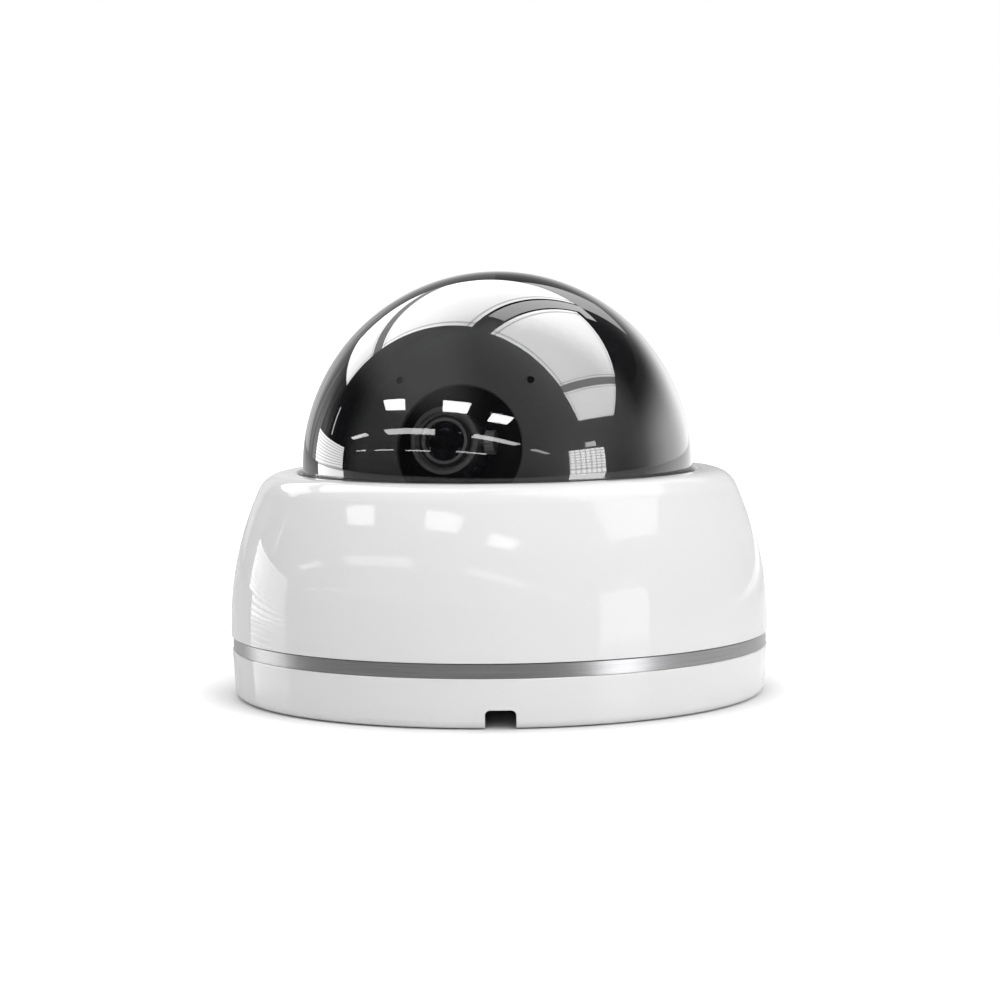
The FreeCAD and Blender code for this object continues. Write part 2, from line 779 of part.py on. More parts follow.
def cradle():
    """Two curved wings at the pivots, the plate that carries the module, and the liner's bosses."""
    wings = shell(cradle_outer, cradle_inner).common(block(
        -cradle_outer, cradle_outer, -cradle_wing_half_width, cradle_wing_half_width,
        -cradle_wing_back, cradle_plate_front))
    plate = cylinder(cradle_plate_radius, cradle_plate_back, cradle_plate_front)
    bosses = [cylinder(liner_boss_radius, cradle_plate_back, liner_radius, x, y)
              for x, y in liner_screw_places()]
    body = wings.fuse([plate] + bosses)
    body = body.common(Part.makeSphere(liner_inner - seat_gap))
    cuts = [cylinder(holder_hub_radius + running_fit, 0, cradle_plate_front + 1),
            Part.makeCylinder(pivot_radius, 2 * cradle_outer + 2,
                              Vector(-cradle_outer - 1, 0, 0), Vector(1, 0, 0))]
    cuts += [cylinder(liner_screw_radius, cradle_plate_front, liner_radius, x, y)
             for x, y in liner_screw_places()]
    return body.cut(cuts)


def tilt_pins():
    """Headed pins, put in from inside the cradle, that turn in the yoke's bushes."""
    shoulder = math.sqrt(cradle_inner ** 2 - pivot_head_radius ** 2)
    pin = Part.makeCylinder(pivot_radius, yoke_outer - shoulder, Vector(shoulder, 0, 0),
                            Vector(1, 0, 0))
    head = Part.makeCylinder(pivot_head_radius, pivot_head_height,
                             Vector(shoulder - pivot_head_height, 0, 0), Vector(1, 0, 0))
    pin = pin.fuse(head)
    other = pin.copy()
    other.rotate(Vector(0, 0, 0), UP, 180)
    return [pin, other]


def inner_liner():
    """A dark ball shell that hides the works, with a round hole about the lens axis."""
    body = shell(liner_radius, liner_inner)
    body = body.cut(cylinder(liner_opening, 0, liner_radius + 1))
    pole = math.radians(liner_pole_angle)
    normal = Vector(0, math.sin(pole), math.cos(pole))
    edge = liner_radius * math.cos(math.radians(liner_half_angle))
    away = Part.makeCylinder(2 * liner_radius, 2 * liner_radius, normal * edge, -normal)
    body = body.cut(away)
    rim = [e for e in body.Edges if abs(e.BoundBox.XLength - 2 * liner_opening) < 0.01
           and e.BoundBox.ZMin > math.sqrt(liner_radius ** 2 - liner_opening ** 2) - 0.1]
    body = body.makeFillet(liner_rim_round, rim)
    return body.cut([cylinder(liner_screw_radius + screw_fit, 0, liner_radius + 1, x, y)
                     for x, y in liner_screw_places()])


def liner_screws():
    """Slim self-tapping screws, sunk just below the liner's face."""
    reach = math.hypot(liner_screw_side, liner_screw_rise) + liner_screw_radius
    front = math.sqrt(liner_radius ** 2 - reach ** 2) - liner_screw_recess
    slot = liner_screw_radius * 0.35
    long = liner_screw_radius * 2
    screws = []
    for x, y in liner_screw_places():
        body = cylinder(liner_screw_radius, front - liner_screw_length, front, x, y)
        screws.append(body.cut(block(x - long, x + long, y - slot / 2, y + slot / 2,
                                     front - liner_slot_depth, front + 1)))
    return screws


# ---- camera module, in the same frame ------------------------------------------------------------
def module_places():
    reach = module_board_hole
    return [(sx * reach, sy * reach) for sx in (-1, 1) for sy in (-1, 1)]


def module_holder():
    inner = holder_hub_radius - holder_hub_wall
    body = cylinder(holder_flange_radius, holder_flange_back, holder_flange_front)
    body = body.fuse([cylinder(holder_hub_radius, holder_flange_back, holder_front)]
                     + [cylinder(module_pillar_radius, sensor_board_front,
                                 holder_flange_back + holder_flange_thickness / 2, x, y)
                        for x, y in module_places()])
    screw_top = holder_flange_back + holder_flange_thickness / 2
    return body.cut([cylinder(inner, sensor_board_front, holder_front + 1)]
                    + [screw_hole(x, y, sensor_board_front - 1, screw_top, fine=True)
                       for x, y in module_places()])


def holder_retainer():
    low = cradle_plate_front + retainer_gap
    return ring(retainer_radius, holder_hub_radius, low, low + retainer_thickness)


def lens_shroud():
    """The dark cup in front of the module that leaves only the lens showing."""
    outer = holder_hub_radius
    top = holder_front + shroud_height
    cup = cylinder(outer, holder_front, top).cut(
        cylinder(outer - shroud_wall, holder_front - 1, top - shroud_wall))
    cup = cup.makeFillet(shroud_wall * 0.6, [e for e in cup.Edges if e.BoundBox.ZMin > top - 0.01])
    return cup.cut(cylinder(mount_radius + running_fit, holder_front, top + 1,
                            lens_offset_side, lens_offset_up))


def square_board(back, front):
    half = module_board / 2
    body = block(-half, half, -half, half, back, front)
    upright = [e for e in body.Edges if e.BoundBox.ZLength > board_thickness / 2]
    body = body.makeFillet(module_board_round, upright)
    return body.cut([screw_hole(x, y, back - 1, front + 1, fine=True)
                     for x, y in module_places()])


def board_spacers():
    return [ring(module_pillar_radius, fine_shank_radius + screw_fit, signal_board_front,
                 sensor_board_back, x, y) for x, y in module_places()]


def module_screws():
    length = holder_flange_back + holder_flange_thickness * 0.4 - signal_board_rear
    return [screw(length, x, y, signal_board_rear, up=False, fine=True)
            for x, y in module_places()]


def module_header():
    half_length, half_width = module_header_length / 2, module_header_width / 2
    low = signal_board_rear - module_header_height
    body = block(-half_length, half_length, -half_width, half_width, low, signal_board_rear)
    return body.cut(block(-half_length + header_wall, half_length - header_wall,
                          -half_width + header_wall, half_width - header_wall,
                          low - 1, signal_board_rear - header_wall))


def at_lens(shape):
    """Moves a shape about the Z axis to the lens axis."""
    copy = shape.copy()
    copy.translate(Vector(lens_offset_side, lens_offset_up, 0))
    return copy


def image_sensor():
    half = sensor_size / 2
    return at_lens(block(-half, half, -half, half, sensor_board_front,
                         sensor_board_front + sensor_height))


def lens_mount():
    return at_lens(ring(mount_radius, lens_barrel_radius + running_fit, sensor_board_front,
                        sensor_board_front + mount_height))


def ir_filter():
    low = sensor_board_front + filter_height
    return at_lens(cylinder(lens_barrel_radius, low, low + filter_thickness))


# ---- lens ----------------------------------------------------------------------------------
def focus_ring():
    body = cylinder(focus_ring_radius, focus_ring_back, focus_ring_front)
    lip = (focus_ring_radius - focus_groove_radius) * 0.3
    body = body.makeFillet(lip, [e for e in body.Edges
                                 if e.BoundBox.ZMin > focus_ring_front - 0.01])
    body = body.cut([cylinder(lens_barrel_radius + running_fit, focus_ring_back - 1,
                              focus_ring_front + 1),
                     cylinder(focus_groove_radius, focus_ring_front - focus_groove_depth,
                              focus_ring_front + 1)])
    body = notched_edge(body, focus_ring_radius, grip_groove_radius, focus_ring_back + grip_start,
                        focus_ring_back + grip_start + grip_length, grip_groove_count)
    hole = Part.makeCylinder(lock_shank_radius + running_fit, 2 * focus_ring_radius,
                             Vector(0, 0, lock_position), Vector(1, 0, 0))
    return at_lens(body.cut(hole))


def lock_screw():
    """The thumbscrew at the side of the focus ring, along +X from the lens axis."""
    tip = lens_barrel_radius + lock_tip_gap
    head = cylinder(lock_head_radius, lock_head_inner, lock_head_inner + lock_head_thickness)
    head = notched_edge(head, lock_head_radius, lock_groove_radius, lock_head_inner - 1,
                        lock_head_inner + lock_head_thickness + 1, lock_groove_count)
    body = head.fuse(cylinder(lock_shank_radius, tip, lock_head_inner + 0.5))
    body.rotate(Vector(0, 0, 0), Vector(0, 1, 0), 90)
    body.translate(Vector(0, 0, lock_position))
    return at_lens(body)


def lens_barrel():
    body = cylinder(lens_barrel_radius, lens_barrel_back, lens_barrel_front)
    return at_lens(body.cut([
        cylinder(inner_glass_radius + seat_gap, lens_barrel_back - 1, lens_barrel_front + 1),
        cylinder(front_glass_radius + seat_gap, glass_seat, lens_barrel_front + 1),
        cylinder(retainer_ring_radius + seat_gap, lens_barrel_front - retainer_ring_thickness,
                 lens_barrel_front + 1)]))


def lens_retainer():
    return at_lens(ring(retainer_ring_radius, retainer_bore,
                        lens_barrel_front - retainer_ring_thickness, lens_barrel_front))


def crowned_glass(radius, back, edge, crown):
    """A glass element: a flat back, a straight edge and a domed front."""
    front = back + edge
    ball = (radius ** 2 + crown ** 2) / (2 * crown)
    cap = Part.makeSphere(ball, Vector(0, 0, front + crown - ball))
    return cylinder(radius, back, front + crown).common(cap)


def front_element():
    glass = crowned_glass(front_glass_radius, glass_seat, front_glass_edge, front_glass_crown)
    rim = cylinder(front_glass_radius, glass_seat, glass_seat + front_glass_edge)
    middle = cylinder(retainer_bore - seat_gap, glass_seat, lens_barrel_front)
    return at_lens(glass.common(rim.fuse(middle)))


def inner_element(back):
    return at_lens(crowned_glass(inner_glass_radius, back, inner_glass_thickness * 0.6,
                                 inner_glass_thickness * 0.4))


def build_housing():
    save("base_housing", base_housing())
    save("mounting_gasket", mounting_gasket())
    save("trim_ring", trim_ring())
    save("cable_grommet", cable_grommet())
    save("cover_clips", *cover_clips())
    save("pan_base", pan_base())
    save("pan_base_screws", *pan_base_screws())
    save("friction_washer", friction_washer())
    save("main_board", main_board())
    save("board_screws", *board_screws())
    save("board_headers", *board_headers())
    save("board_capacitors", *board_capacitors())
    save("board_chips", *board_chips())
    save("reset_switch", reset_switch())
    save("reset_button", reset_button())


def build_cover():
    save("cover_shell", cover_shell())
    save("dome_bubble", dome_bubble())
    save("dome_seal", dome_seal())
    save("clamp_ring", clamp_ring())
    save("clamp_screws", *clamp_screws())


def build_gimbal():
    save("turntable", turntable(), at=panned())
    save("pan_retainer", pan_retainer(), at=panned())
    save("yoke", yoke(), at=panned())
    save("yoke_screws", *yoke_screws(), at=panned())
    save("tilt_bushes", *tilt_bushes(), at=panned())
    save("cradle", cradle(), at=along_lens())
    save("tilt_pins", *tilt_pins(), at=along_lens())
    save("inner_liner", inner_liner(), at=along_lens())
    save("liner_screws", *liner_screws(), at=along_lens())


def build_module():
    save("module_holder", module_holder(), at=along_lens())
    save("holder_retainer", holder_retainer(), at=along_lens())
    save("lens_shroud", lens_shroud(), at=along_lens())
    save("sensor_board", square_board(sensor_board_back, sensor_board_front), at=along_lens())
    save("signal_board", square_board(signal_board_rear, signal_board_front), at=along_lens())
    save("board_spacers", *board_spacers(), at=along_lens())
    save("module_screws", *module_screws(), at=along_lens())
    save("module_header", module_header(), at=along_lens())
    save("image_sensor", image_sensor(), at=along_lens())
    save("lens_mount", lens_mount(), at=along_lens())
    save("ir_filter", ir_filter(), at=along_lens())


def build_lens():
    save("focus_ring", focus_ring(), at=along_lens())
    save("lock_screw", lock_screw(), at=along_lens())
    save("lens_barrel", lens_barrel(), at=along_lens())
    save("lens_retainer", lens_retainer(), at=along_lens())
    save("front_element", front_element(), at=along_lens())
    save("middle_element", inner_element(lens_barrel_back + middle_glass_inset), at=along_lens())
    save("rear_element", inner_element(lens_barrel_back + rear_glass_inset), at=along_lens())


os.makedirs("parts", exist_ok=True)
build_housing()
build_cover()
build_gimbal()
build_module()
build_lens()
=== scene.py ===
"""Looks for the dome camera: finishes for its parts, the small pieces on its boards, and the stage.

Metres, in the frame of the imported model: +Z up out of the mounting face, -Y towards the cable
notch.  Each step is an operator, listed in the panel under View > Sidebar > Dome Camera.
"""
import json
import math

import bpy
from mathutils import Matrix, Vector

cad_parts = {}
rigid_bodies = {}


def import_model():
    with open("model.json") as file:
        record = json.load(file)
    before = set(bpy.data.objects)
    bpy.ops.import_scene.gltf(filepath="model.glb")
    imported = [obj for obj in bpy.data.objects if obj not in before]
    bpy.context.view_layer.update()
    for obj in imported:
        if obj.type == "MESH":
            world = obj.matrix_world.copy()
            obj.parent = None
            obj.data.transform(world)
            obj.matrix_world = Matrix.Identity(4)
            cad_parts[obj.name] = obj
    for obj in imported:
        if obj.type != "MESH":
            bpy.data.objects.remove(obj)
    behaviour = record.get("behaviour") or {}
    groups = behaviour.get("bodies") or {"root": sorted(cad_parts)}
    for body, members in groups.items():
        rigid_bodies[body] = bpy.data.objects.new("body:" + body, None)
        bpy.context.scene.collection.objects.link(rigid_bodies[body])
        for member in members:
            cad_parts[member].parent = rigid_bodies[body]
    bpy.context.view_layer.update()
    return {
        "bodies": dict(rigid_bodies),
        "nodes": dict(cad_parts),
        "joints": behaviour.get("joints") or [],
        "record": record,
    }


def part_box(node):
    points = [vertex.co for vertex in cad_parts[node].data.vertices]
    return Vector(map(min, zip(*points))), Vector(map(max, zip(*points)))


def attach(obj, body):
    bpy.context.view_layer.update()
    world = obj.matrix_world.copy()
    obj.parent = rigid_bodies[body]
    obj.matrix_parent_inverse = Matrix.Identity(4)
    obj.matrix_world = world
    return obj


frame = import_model()
NODES = frame["nodes"]
JOINTS = {joint["name"]: joint for joint in frame["joints"]}

bl_info = {
    "name": "Dome Camera Looks",
    "version": (1, 0, 0),
    "blender": (4, 5, 0),
    "location": "View3D > Sidebar > Dome Camera",
    "description": "Finishes, board details and stage for the dome camera",
    "category": "Object",
}

MM = 0.001


# ---- material maths ----
def plug(tree, value, socket):
    """Links a wire to a socket, or sets a plain value on it."""
    if isinstance(value, Wire):
        tree.links.new(value.socket, socket)
    else:
        socket.default_value = value


def maths(operation, swap=False):
    """An operator of Wire that adds a Math node."""
    def method(self, other):
        node = self.tree.nodes.new("ShaderNodeMath")
        node.operation = operation
        for socket, value in zip(node.inputs, (other, self) if swap else (self, other)):
            plug(self.tree, value, socket)
        return Wire(self.tree, node.outputs[0])
    return method


class Wire:
    """A value in a material: sums on it add Math nodes."""

    def __init__(self, tree, socket):
        self.tree = tree
        self.socket = socket

    __add__, __radd__ = maths("ADD"), maths("ADD", True)
    __sub__, __rsub__ = maths("SUBTRACT"), maths("SUBTRACT", True)
    __mul__, __rmul__ = maths("MULTIPLY"), maths("MULTIPLY", True)
    __rtruediv__ = maths("DIVIDE", True)
    __gt__, __lt__ = maths("GREATER_THAN"), maths("LESS_THAN")


class Recipe:
    """A node tree under construction, for a material or for the world."""

    def __init__(self, tree):
        self.tree = tree

    def node(self, kind, settings=None, inputs=None, output=0):
        """Adds a node: its settings first, then its sockets' values or links."""
        node = self.tree.nodes.new(kind)
        for name, value in (settings or {}).items():
            setattr(node, name, value)
        for name, value in (inputs or {}).items():
            plug(self.tree, value, node.inputs[name])
        return Wire(self.tree, node.outputs[output])

    def link(self, wire, node, socket):
        self.tree.links.new(wire.socket, node.inputs[socket])

    def place(self):
        return self.node("ShaderNodeTexCoord", output="Object")

    def axes(self, vector):
        """The X, Y and Z of a vector."""
        split = self.node("ShaderNodeSeparateXYZ", inputs={0: vector}).socket.node
        return [Wire(self.tree, socket) for socket in split.outputs]

    def rays(self, *kinds):
        """For each kind of ray, a value that is 1 on it."""
        path = self.node("ShaderNodeLightPath").socket.node
        return [Wire(self.tree, path.outputs["Is %s Ray" % kind]) for kind in kinds]

    def noise(self, vector, scale, detail, roughness=0.5):
        return self.node("ShaderNodeTexNoise", {"noise_dimensions": "3D"},
                         {"Vector": vector, "Scale": scale, "Detail": detail,
                          "Roughness": roughness})

    def cells(self, vector, scale):
        return self.node("ShaderNodeTexVoronoi", {"feature": "F1"},
                         {"Vector": vector, "Scale": scale, "Randomness": 1.0})

    def stretched(self, vector, scale, turn=(0.0, 0.0, 0.0)):
        return self.node("ShaderNodeMapping", {"vector_type": "POINT"},
                         {"Vector": vector, "Rotation": turn, "Scale": scale})

    def between(self, value, low, high, to_low=0.0, to_high=1.0, curve="LINEAR"):
        settings = {"interpolation_type": curve}
        if curve == "LINEAR":
            settings["clamp"] = True
        return self.node("ShaderNodeMapRange", settings,
                         {"Value": value, "From Min": low, "From Max": high,
                          "To Min": to_low, "To Max": to_high})

    def ease(self, value, low, high, to_low=0.0, to_high=1.0):
        return self.between(value, low, high, to_low, to_high, "SMOOTHSTEP")

    def sweep(self, turn, first, last, to_low=0.0, to_high=1.0):
        """Eases between two bearings in degrees."""
        return self.ease(turn, math.radians(first), math.radians(last), to_low, to_high)

    def part_of(self, value):
        """What is left of a value above a whole number."""
        return self.node("ShaderNodeMath", {"operation": "FRACT"}, {0: value})

    def angle(self, along, across):
        """The angle whose tangent is one value over the other."""
        return self.node("ShaderNodeMath", {"operation": "ARCTAN2"}, {0: along, 1: across})

    def mix(self, mask, first, second):
        """A colour: the first where the mask is 0, the second where it is 1."""
        inputs = {0: mask, 6: first, 7: second}
        return self.node("ShaderNodeMix", {"data_type": "RGBA"}, inputs, output=2)


class Finish(Recipe):
    """A material with one Principled shader, and the nodes that give it its detail."""

    def __init__(self, name, **sockets):
        self.material = bpy.data.materials.new(name)
        self.material.use_nodes = True
        super().__init__(self.material.node_tree)
        self.shader = self.tree.nodes["Principled BSDF"]
        for name, value in sockets.items():
            self.shader.inputs[name.replace("_", " ")].default_value = value

    def feed(self, socket, wire):
        self.link(wire, self.shader, socket)

    def tones(self, mask, colour, first, second):
        """Lets the base colour run from one brightness of a colour to another."""
        self.feed("Base Color", self.mix(mask, shade(colour, first), shade(colour, second)))

    def bump(self, height, distance, strength):
        normal = self.node("ShaderNodeBump", None,
                           {"Strength": strength, "Distance": distance, "Height": height})
        self.feed("Normal", normal)


def shade(colour, by):
    """A colour made lighter or darker."""
    return tuple(min(1.0, part * by) for part in colour[:3]) + (1.0,)


def opaque(colour):
    return tuple(colour[:3]) + (1.0,)


# ---- finishes ----
def gloss_moulding(name, colour, roughness):
    """Glossy white moulded plastic, with a faint orange peel and a little handling haze."""
    finish = Finish(name, IOR=1.5, Specular_IOR_Level=0.09)
    place = finish.place()
    cloud = finish.noise(place, 28.0, 4.0)
    fine = finish.noise(place, 420.0, 2.0)
    haze = finish.between(finish.noise(place, 11.0, 5.0, 0.6), 0.48, 0.72)
    height = finish.axes(place)[2]
    foot = finish.between(height, 0.0, 0.006, 1.0, 0.0) * finish.noise(place, 160.0, 4.0)
    tone = finish.mix(cloud, shade(colour, 0.985), shade(colour, 1.01))
    finish.feed("Base Color", finish.mix(foot * 0.22, tone, shade(colour, 0.82)))
    finish.feed("Roughness", roughness + haze * 0.02 + foot * 0.25)
    finish.bump(fine, 0.00002, 0.10)
    return finish.material


def brushed_band(name, colour, roughness):
    """Silver paint over fine lines that run round the band."""
    finish = Finish(name, Metallic=0.85, IOR=1.5)
    place = finish.place()
    x, y, z = finish.axes(place)
    around = finish.angle(y, x)
    lines_at = finish.node("ShaderNodeCombineXYZ", None, {0: around * 2.2, 1: z * 5200.0, 2: 0.0})
    lines = finish.noise(lines_at, 1.0, 3.0, 0.62)
    broad_at = finish.node("ShaderNodeCombineXYZ", None, {0: around * 0.9, 1: z * 900.0, 2: 3.0})
    broad = finish.noise(broad_at, 1.0, 2.0)
    finish.tones(finish.between(lines, 0.32, 0.68), colour, 0.84, 1.16)
    finish.feed("Roughness", roughness + (broad - 0.5) * 0.12 + (lines - 0.5) * 0.10)
    finish.bump(lines, 0.00003, 0.35)
    return finish.material


CLEAR_VIEW = (0.27, 0.42)       # how far edge-on the bubble starts and stops being clear
BUBBLE_HALF_WALL = 1.2 * MM


def smoked_clear(name, colour, density, centre, middle_radius):
    """Polished smoked plastic: its outer face carries the tint and the shine for the whole wall;
    edge-on it turns nearly opaque, partly for the longer path through the smoke and partly as
    painted shade on the liner behind.
    """
    finish = Finish(name, IOR=1.58, Specular_IOR_Level=0.85)
    place = finish.place()
    from_centre = finish.node("ShaderNodeVectorMath", {"operation": "DISTANCE"},
                              {0: place, 1: centre}, output=1)
    edge_on = finish.node("ShaderNodeLayerWeight", None, {"Blend": 0.5}, output=1)
    # Turning opaque edge-on is partly real smoke and partly painted shade: the dark bubble stands
    # in for the shaded sides of the liner.
    clear = (1.0 - density) * finish.ease(edge_on, *CLEAR_VIEW, 1.0, 0.05)
    finish.feed("Alpha", 0.03 + (from_centre > middle_radius) * (0.97 - clear))
    smear = finish.between(finish.noise(place, 22.0, 5.0, 0.65), 0.52, 0.78)
    speck = finish.between(finish.cells(place, 260.0), 0.05, 0.11, 1.0, 0.0)
    finish.feed("Base Color", finish.mix(speck * 0.25, opaque(colour), shade(colour, 6.0)))
    finish.feed("Roughness", 0.012 + smear * 0.02 + speck * 0.10)
    return finish.material


def moulded(name, colour, roughness, grain=900.0, depth=0.00003):
    """Matt or satin moulded plastic with a fine spark-eroded grain."""
    finish = Finish(name, IOR=1.46)
    place = finish.place()
    cloud = finish.noise(place, 60.0, 3.0)
    pits = finish.noise(place, grain, 3.0, 0.6)
    finish.tones(cloud, colour, 0.88, 1.12)
    finish.feed("Roughness", roughness + (pits - 0.5) * 0.18)
    finish.bump(pits, depth, 0.45)
    return finish.material


def foam(name, colour):
    """Closed-cell foam with open pores on its cut faces."""
    finish = Finish(name, IOR=1.4)
    place = finish.place()
    pores = finish.cells(place, 1500.0)
    finish.tones(finish.between(pores, 0.05, 0.55), colour, 0.45, 1.35)
    finish.feed("Roughness", 0.80 + pores * 0.2)
    finish.bump(pores, 0.00015, 0.8)
    return finish.material


def rubber(name, colour):
    """Soft black rubber, a little dusty."""
    finish = Finish(name, IOR=1.45)
    place = finish.place()
    dust = finish.between(finish.noise(place, 130.0, 5.0, 0.65), 0.5, 0.8)
    fine = finish.noise(place, 1400.0, 2.0)
    finish.feed("Base Color", finish.mix(dust * 0.35, opaque(colour), shade(colour, 3.0)))
    finish.feed("Roughness", 0.58 + dust * 0.2)
    finish.bump(fine, 0.00002, 0.4)
    return finish.material


def sheet_steel(name, colour, roughness, turn=(0.0, 0.0, 0.0)):
    """Pressed or turned steel with fine drawing lines and faint stains."""
    finish = Finish(name, Metallic=1.0)
    place = finish.place()
    lines = finish.noise(finish.stretched(place, (60.0, 1800.0, 900.0), turn), 1.0, 2.0, 0.6)
    stain = finish.noise(place, 90.0, 4.0)
    finish.tones(stain, colour, 0.82, 1.12)
    finish.feed("Roughness", roughness + (lines - 0.5) * 0.16 + (stain - 0.5) * 0.12)
    finish.bump(lines, 0.00001, 0.3)
    return finish.material


def anodised(name, colour, roughness):
    """Anodised aluminium: an even satin with a fine tooth."""
    finish = Finish(name, Metallic=0.75)
    place = finish.place()
    tooth = finish.noise(place, 2600.0, 2.0)
    cloud = finish.noise(place, 140.0, 2.0)
    finish.tones(cloud, colour, 0.9, 1.1)
    finish.feed("Roughness", roughness + (tooth - 0.5) * 0.16)
    finish.bump(tooth, 0.00001, 0.3)
    return finish.material


def nylon(name, colour):
    """Natural nylon, slightly milky."""
    finish = Finish(name, IOR=1.53)
    place = finish.place()
    cloud = finish.noise(place, 180.0, 3.0)
    finish.tones(cloud, colour, 0.9, 1.06)
    finish.feed("Roughness", 0.38 + cloud * 0.16)
    finish.bump(finish.noise(place, 1500.0, 2.0), 0.00001, 0.3)
    return finish.material


def board_mask(name, colour):
    """Green solder mask over copper tracks, with plated vias."""
    finish = Finish(name, IOR=1.5)
    place = finish.place()
    x, y = finish.axes(place)[:2]
    bend = finish.noise(place, 55.0, 0.0) * 0.010
    across = (x + bend) * 800.0
    along = (y + bend) * 800.0
    field = finish.noise(place, 150.0, 0.0) > 0.52
    track = ((finish.part_of(across) < 0.42) * field
             + (finish.part_of(along) < 0.42) * (1.0 - field))
    vias = finish.between(finish.cells(place, 330.0), 0.13, 0.17, 1.0, 0.0)
    mask = finish.mix(track * 0.8, opaque(colour), shade(colour, 1.9))
    finish.feed("Base Color", finish.mix(vias, mask, (0.62, 0.50, 0.26, 1.0)))
    finish.feed("Metallic", vias * 0.8)
    finish.feed("Roughness", 0.30 + finish.noise(place, 700.0, 2.0) * 0.15)
    finish.bump(track, 0.00004, 0.5)
    return finish.material


def coated_glass(name, colour):
    """Optical glass with a thin coating that tints what it mirrors."""
    finish = Finish(name, Roughness=0.0, IOR=1.52, Transmission_Weight=1.0,
                    Specular_Tint=opaque(colour))
    place = finish.place()
    bloom = finish.noise(place, 160.0, 3.0)
    finish.feed("Base Color", finish.mix(bloom, (0.90, 0.93, 0.95, 1.0), (0.96, 0.97, 0.98, 1.0)))
    return finish.material


def sensor_face(name):
    """The dark image area of the sensor; its pale ceramic rim is not drawn, as the whole part wears
    this dark finish.
    """
    finish = Finish(name, IOR=1.5)
    place = finish.place()
    cell = finish.noise(place, 2500.0, 1.0)
    finish.feed("Base Color", finish.mix(cell, (0.010, 0.016, 0.022, 1.0),
                                         (0.022, 0.030, 0.040, 1.0)))
    finish.feed("Roughness", 0.10 + cell * 0.12)
    return finish.material


def tinned(name, colour):
    """Bright tinned metal on legs and lids."""
    finish = Finish(name, Metallic=1.0)
    place = finish.place()
    stain = finish.noise(place, 420.0, 3.0)
    finish.tones(stain, colour, 0.8, 1.1)
    finish.feed("Roughness", 0.28 + stain * 0.2)
    finish.bump(finish.noise(place, 2600.0, 1.0), 0.00001, 0.3)
    return finish.material


def ceramic(name, colour):
    """Fired ceramic of the small board parts."""
    finish = Finish(name, IOR=1.6)
    place = finish.place()
    grain = finish.noise(place, 1900.0, 3.0)
    finish.tones(grain, colour, 0.85, 1.12)
    finish.feed("Roughness", 0.42 + grain * 0.2)
    finish.bump(grain, 0.00001, 0.4)
    return finish.material


def wear(material, *nodes):
    """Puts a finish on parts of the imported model."""
    for node in nodes:
        for slot in NODES[node].material_slots:
            slot.material = material


# ---- modelling ----
def clear_selection():
    if bpy.context.object and bpy.context.object.mode != "OBJECT":
        bpy.ops.object.mode_set(mode="OBJECT")
    bpy.ops.object.select_all(action="DESELECT")


def select_only(part):
    clear_selection()
    part.select_set(True)
    bpy.context.view_layer.objects.active = part


def start_edit(part, test, mode="FACE"):
    """Opens a mesh with the faces or edges selected that pass a test of their middle."""
    select_only(part)
    bpy.ops.object.mode_set(mode="EDIT")
    bpy.ops.mesh.select_mode(type=mode)
    bpy.ops.mesh.select_all(action="DESELECT")
    bpy.ops.object.mode_set(mode="OBJECT")
    mesh = part.data
    if mode == "FACE":
        for face in mesh.polygons:
            face.select = bool(test(face.center, face.normal))
    else:
        for edge in mesh.edges:
            a, b = (mesh.vertices[i].co for i in edge.vertices)
            edge.select = bool(test((a + b) / 2, b - a))
    bpy.ops.object.mode_set(mode="EDIT")


def end_edit():
    bpy.ops.object.mode_set(mode="OBJECT")


def extrude(step):
    bpy.ops.mesh.extrude_region_move(TRANSFORM_OT_translate={"value": step})


def apply_place():
    bpy.ops.object.transform_apply(location=True, rotation=True, scale=True)


def settle(part, name, material, soft=False):
    """Puts the object's place into its mesh, names it and gives it its finish."""
    select_only(part)
    apply_place()
    if soft:
        bpy.ops.object.shade_smooth_by_angle(angle=math.radians(35))
    part.name = name
    part.data.name = name
    part.data.materials.clear()
    part.data.materials.append(material)
    return part


def start_box(centre, size):
    clear_selection()
    bpy.ops.mesh.primitive_cube_add(size=1.0, location=centre)
    part = bpy.context.object
    part.scale = size
    apply_place()
    return part


def start_rod(centre, radius, height, sides):
    clear_selection()
    bpy.ops.mesh.primitive_cylinder_add(vertices=sides, radius=radius, depth=height,
                                        location=centre)
    apply_place()
    return bpy.context.object


def bevelled(part, width, segments, test=None):
    """Rounds or chamfers the chosen edges, or all of them."""
    start_edit(part, test or (lambda middle, along: True), "EDGE")
    bpy.ops.mesh.bevel(offset=width, segments=segments, affect="EDGES")
    end_edit()
    return part


def copied(part, matrix):
    """A copy with its own mesh, put in place by a matrix."""
    twin = part.copy()
    twin.data = part.data.copy()
    twin.data.transform(matrix)
    bpy.context.scene.collection.objects.link(twin)
    return twin


def joined(parts):
    clear_selection()
    for part in parts:
        part.select_set(True)
    bpy.context.view_layer.objects.active = parts[0]
    bpy.ops.object.join()
    return parts[0]


def spread(part, spots):
    """Joins a copy of a part at each spot into one piece, and drops the part itself."""
    piece = joined([copied(part, spot) for spot in spots])
    bpy.data.objects.remove(part)
    return piece


# ---- where things are ----
def lens_matrix():
    """Lens space: +Z out along the module's axis, +Y up, from the bubble's centre."""
    centre = Vector(JOINTS["module_turn"]["pos_m"])
    out = Vector(JOINTS["module_turn"]["axis"]).normalized()
    right = -Vector(JOINTS["tilt_turn"]["axis"]).normalized()
    up = out.cross(right)
    turn = Matrix((right, up, out)).transposed().to_4x4()
    return Matrix.Translation(centre) @ turn


def board_spot(angle, reach, height, spin=0.0):
    """A place on the main board, by its angle round the pan axis and its distance from it."""
    turn = math.radians(angle)
    return (Matrix.Translation((reach * math.cos(turn), reach * math.sin(turn), height))
            @ Matrix.Rotation(turn + math.radians(spin), 4, "Z"))


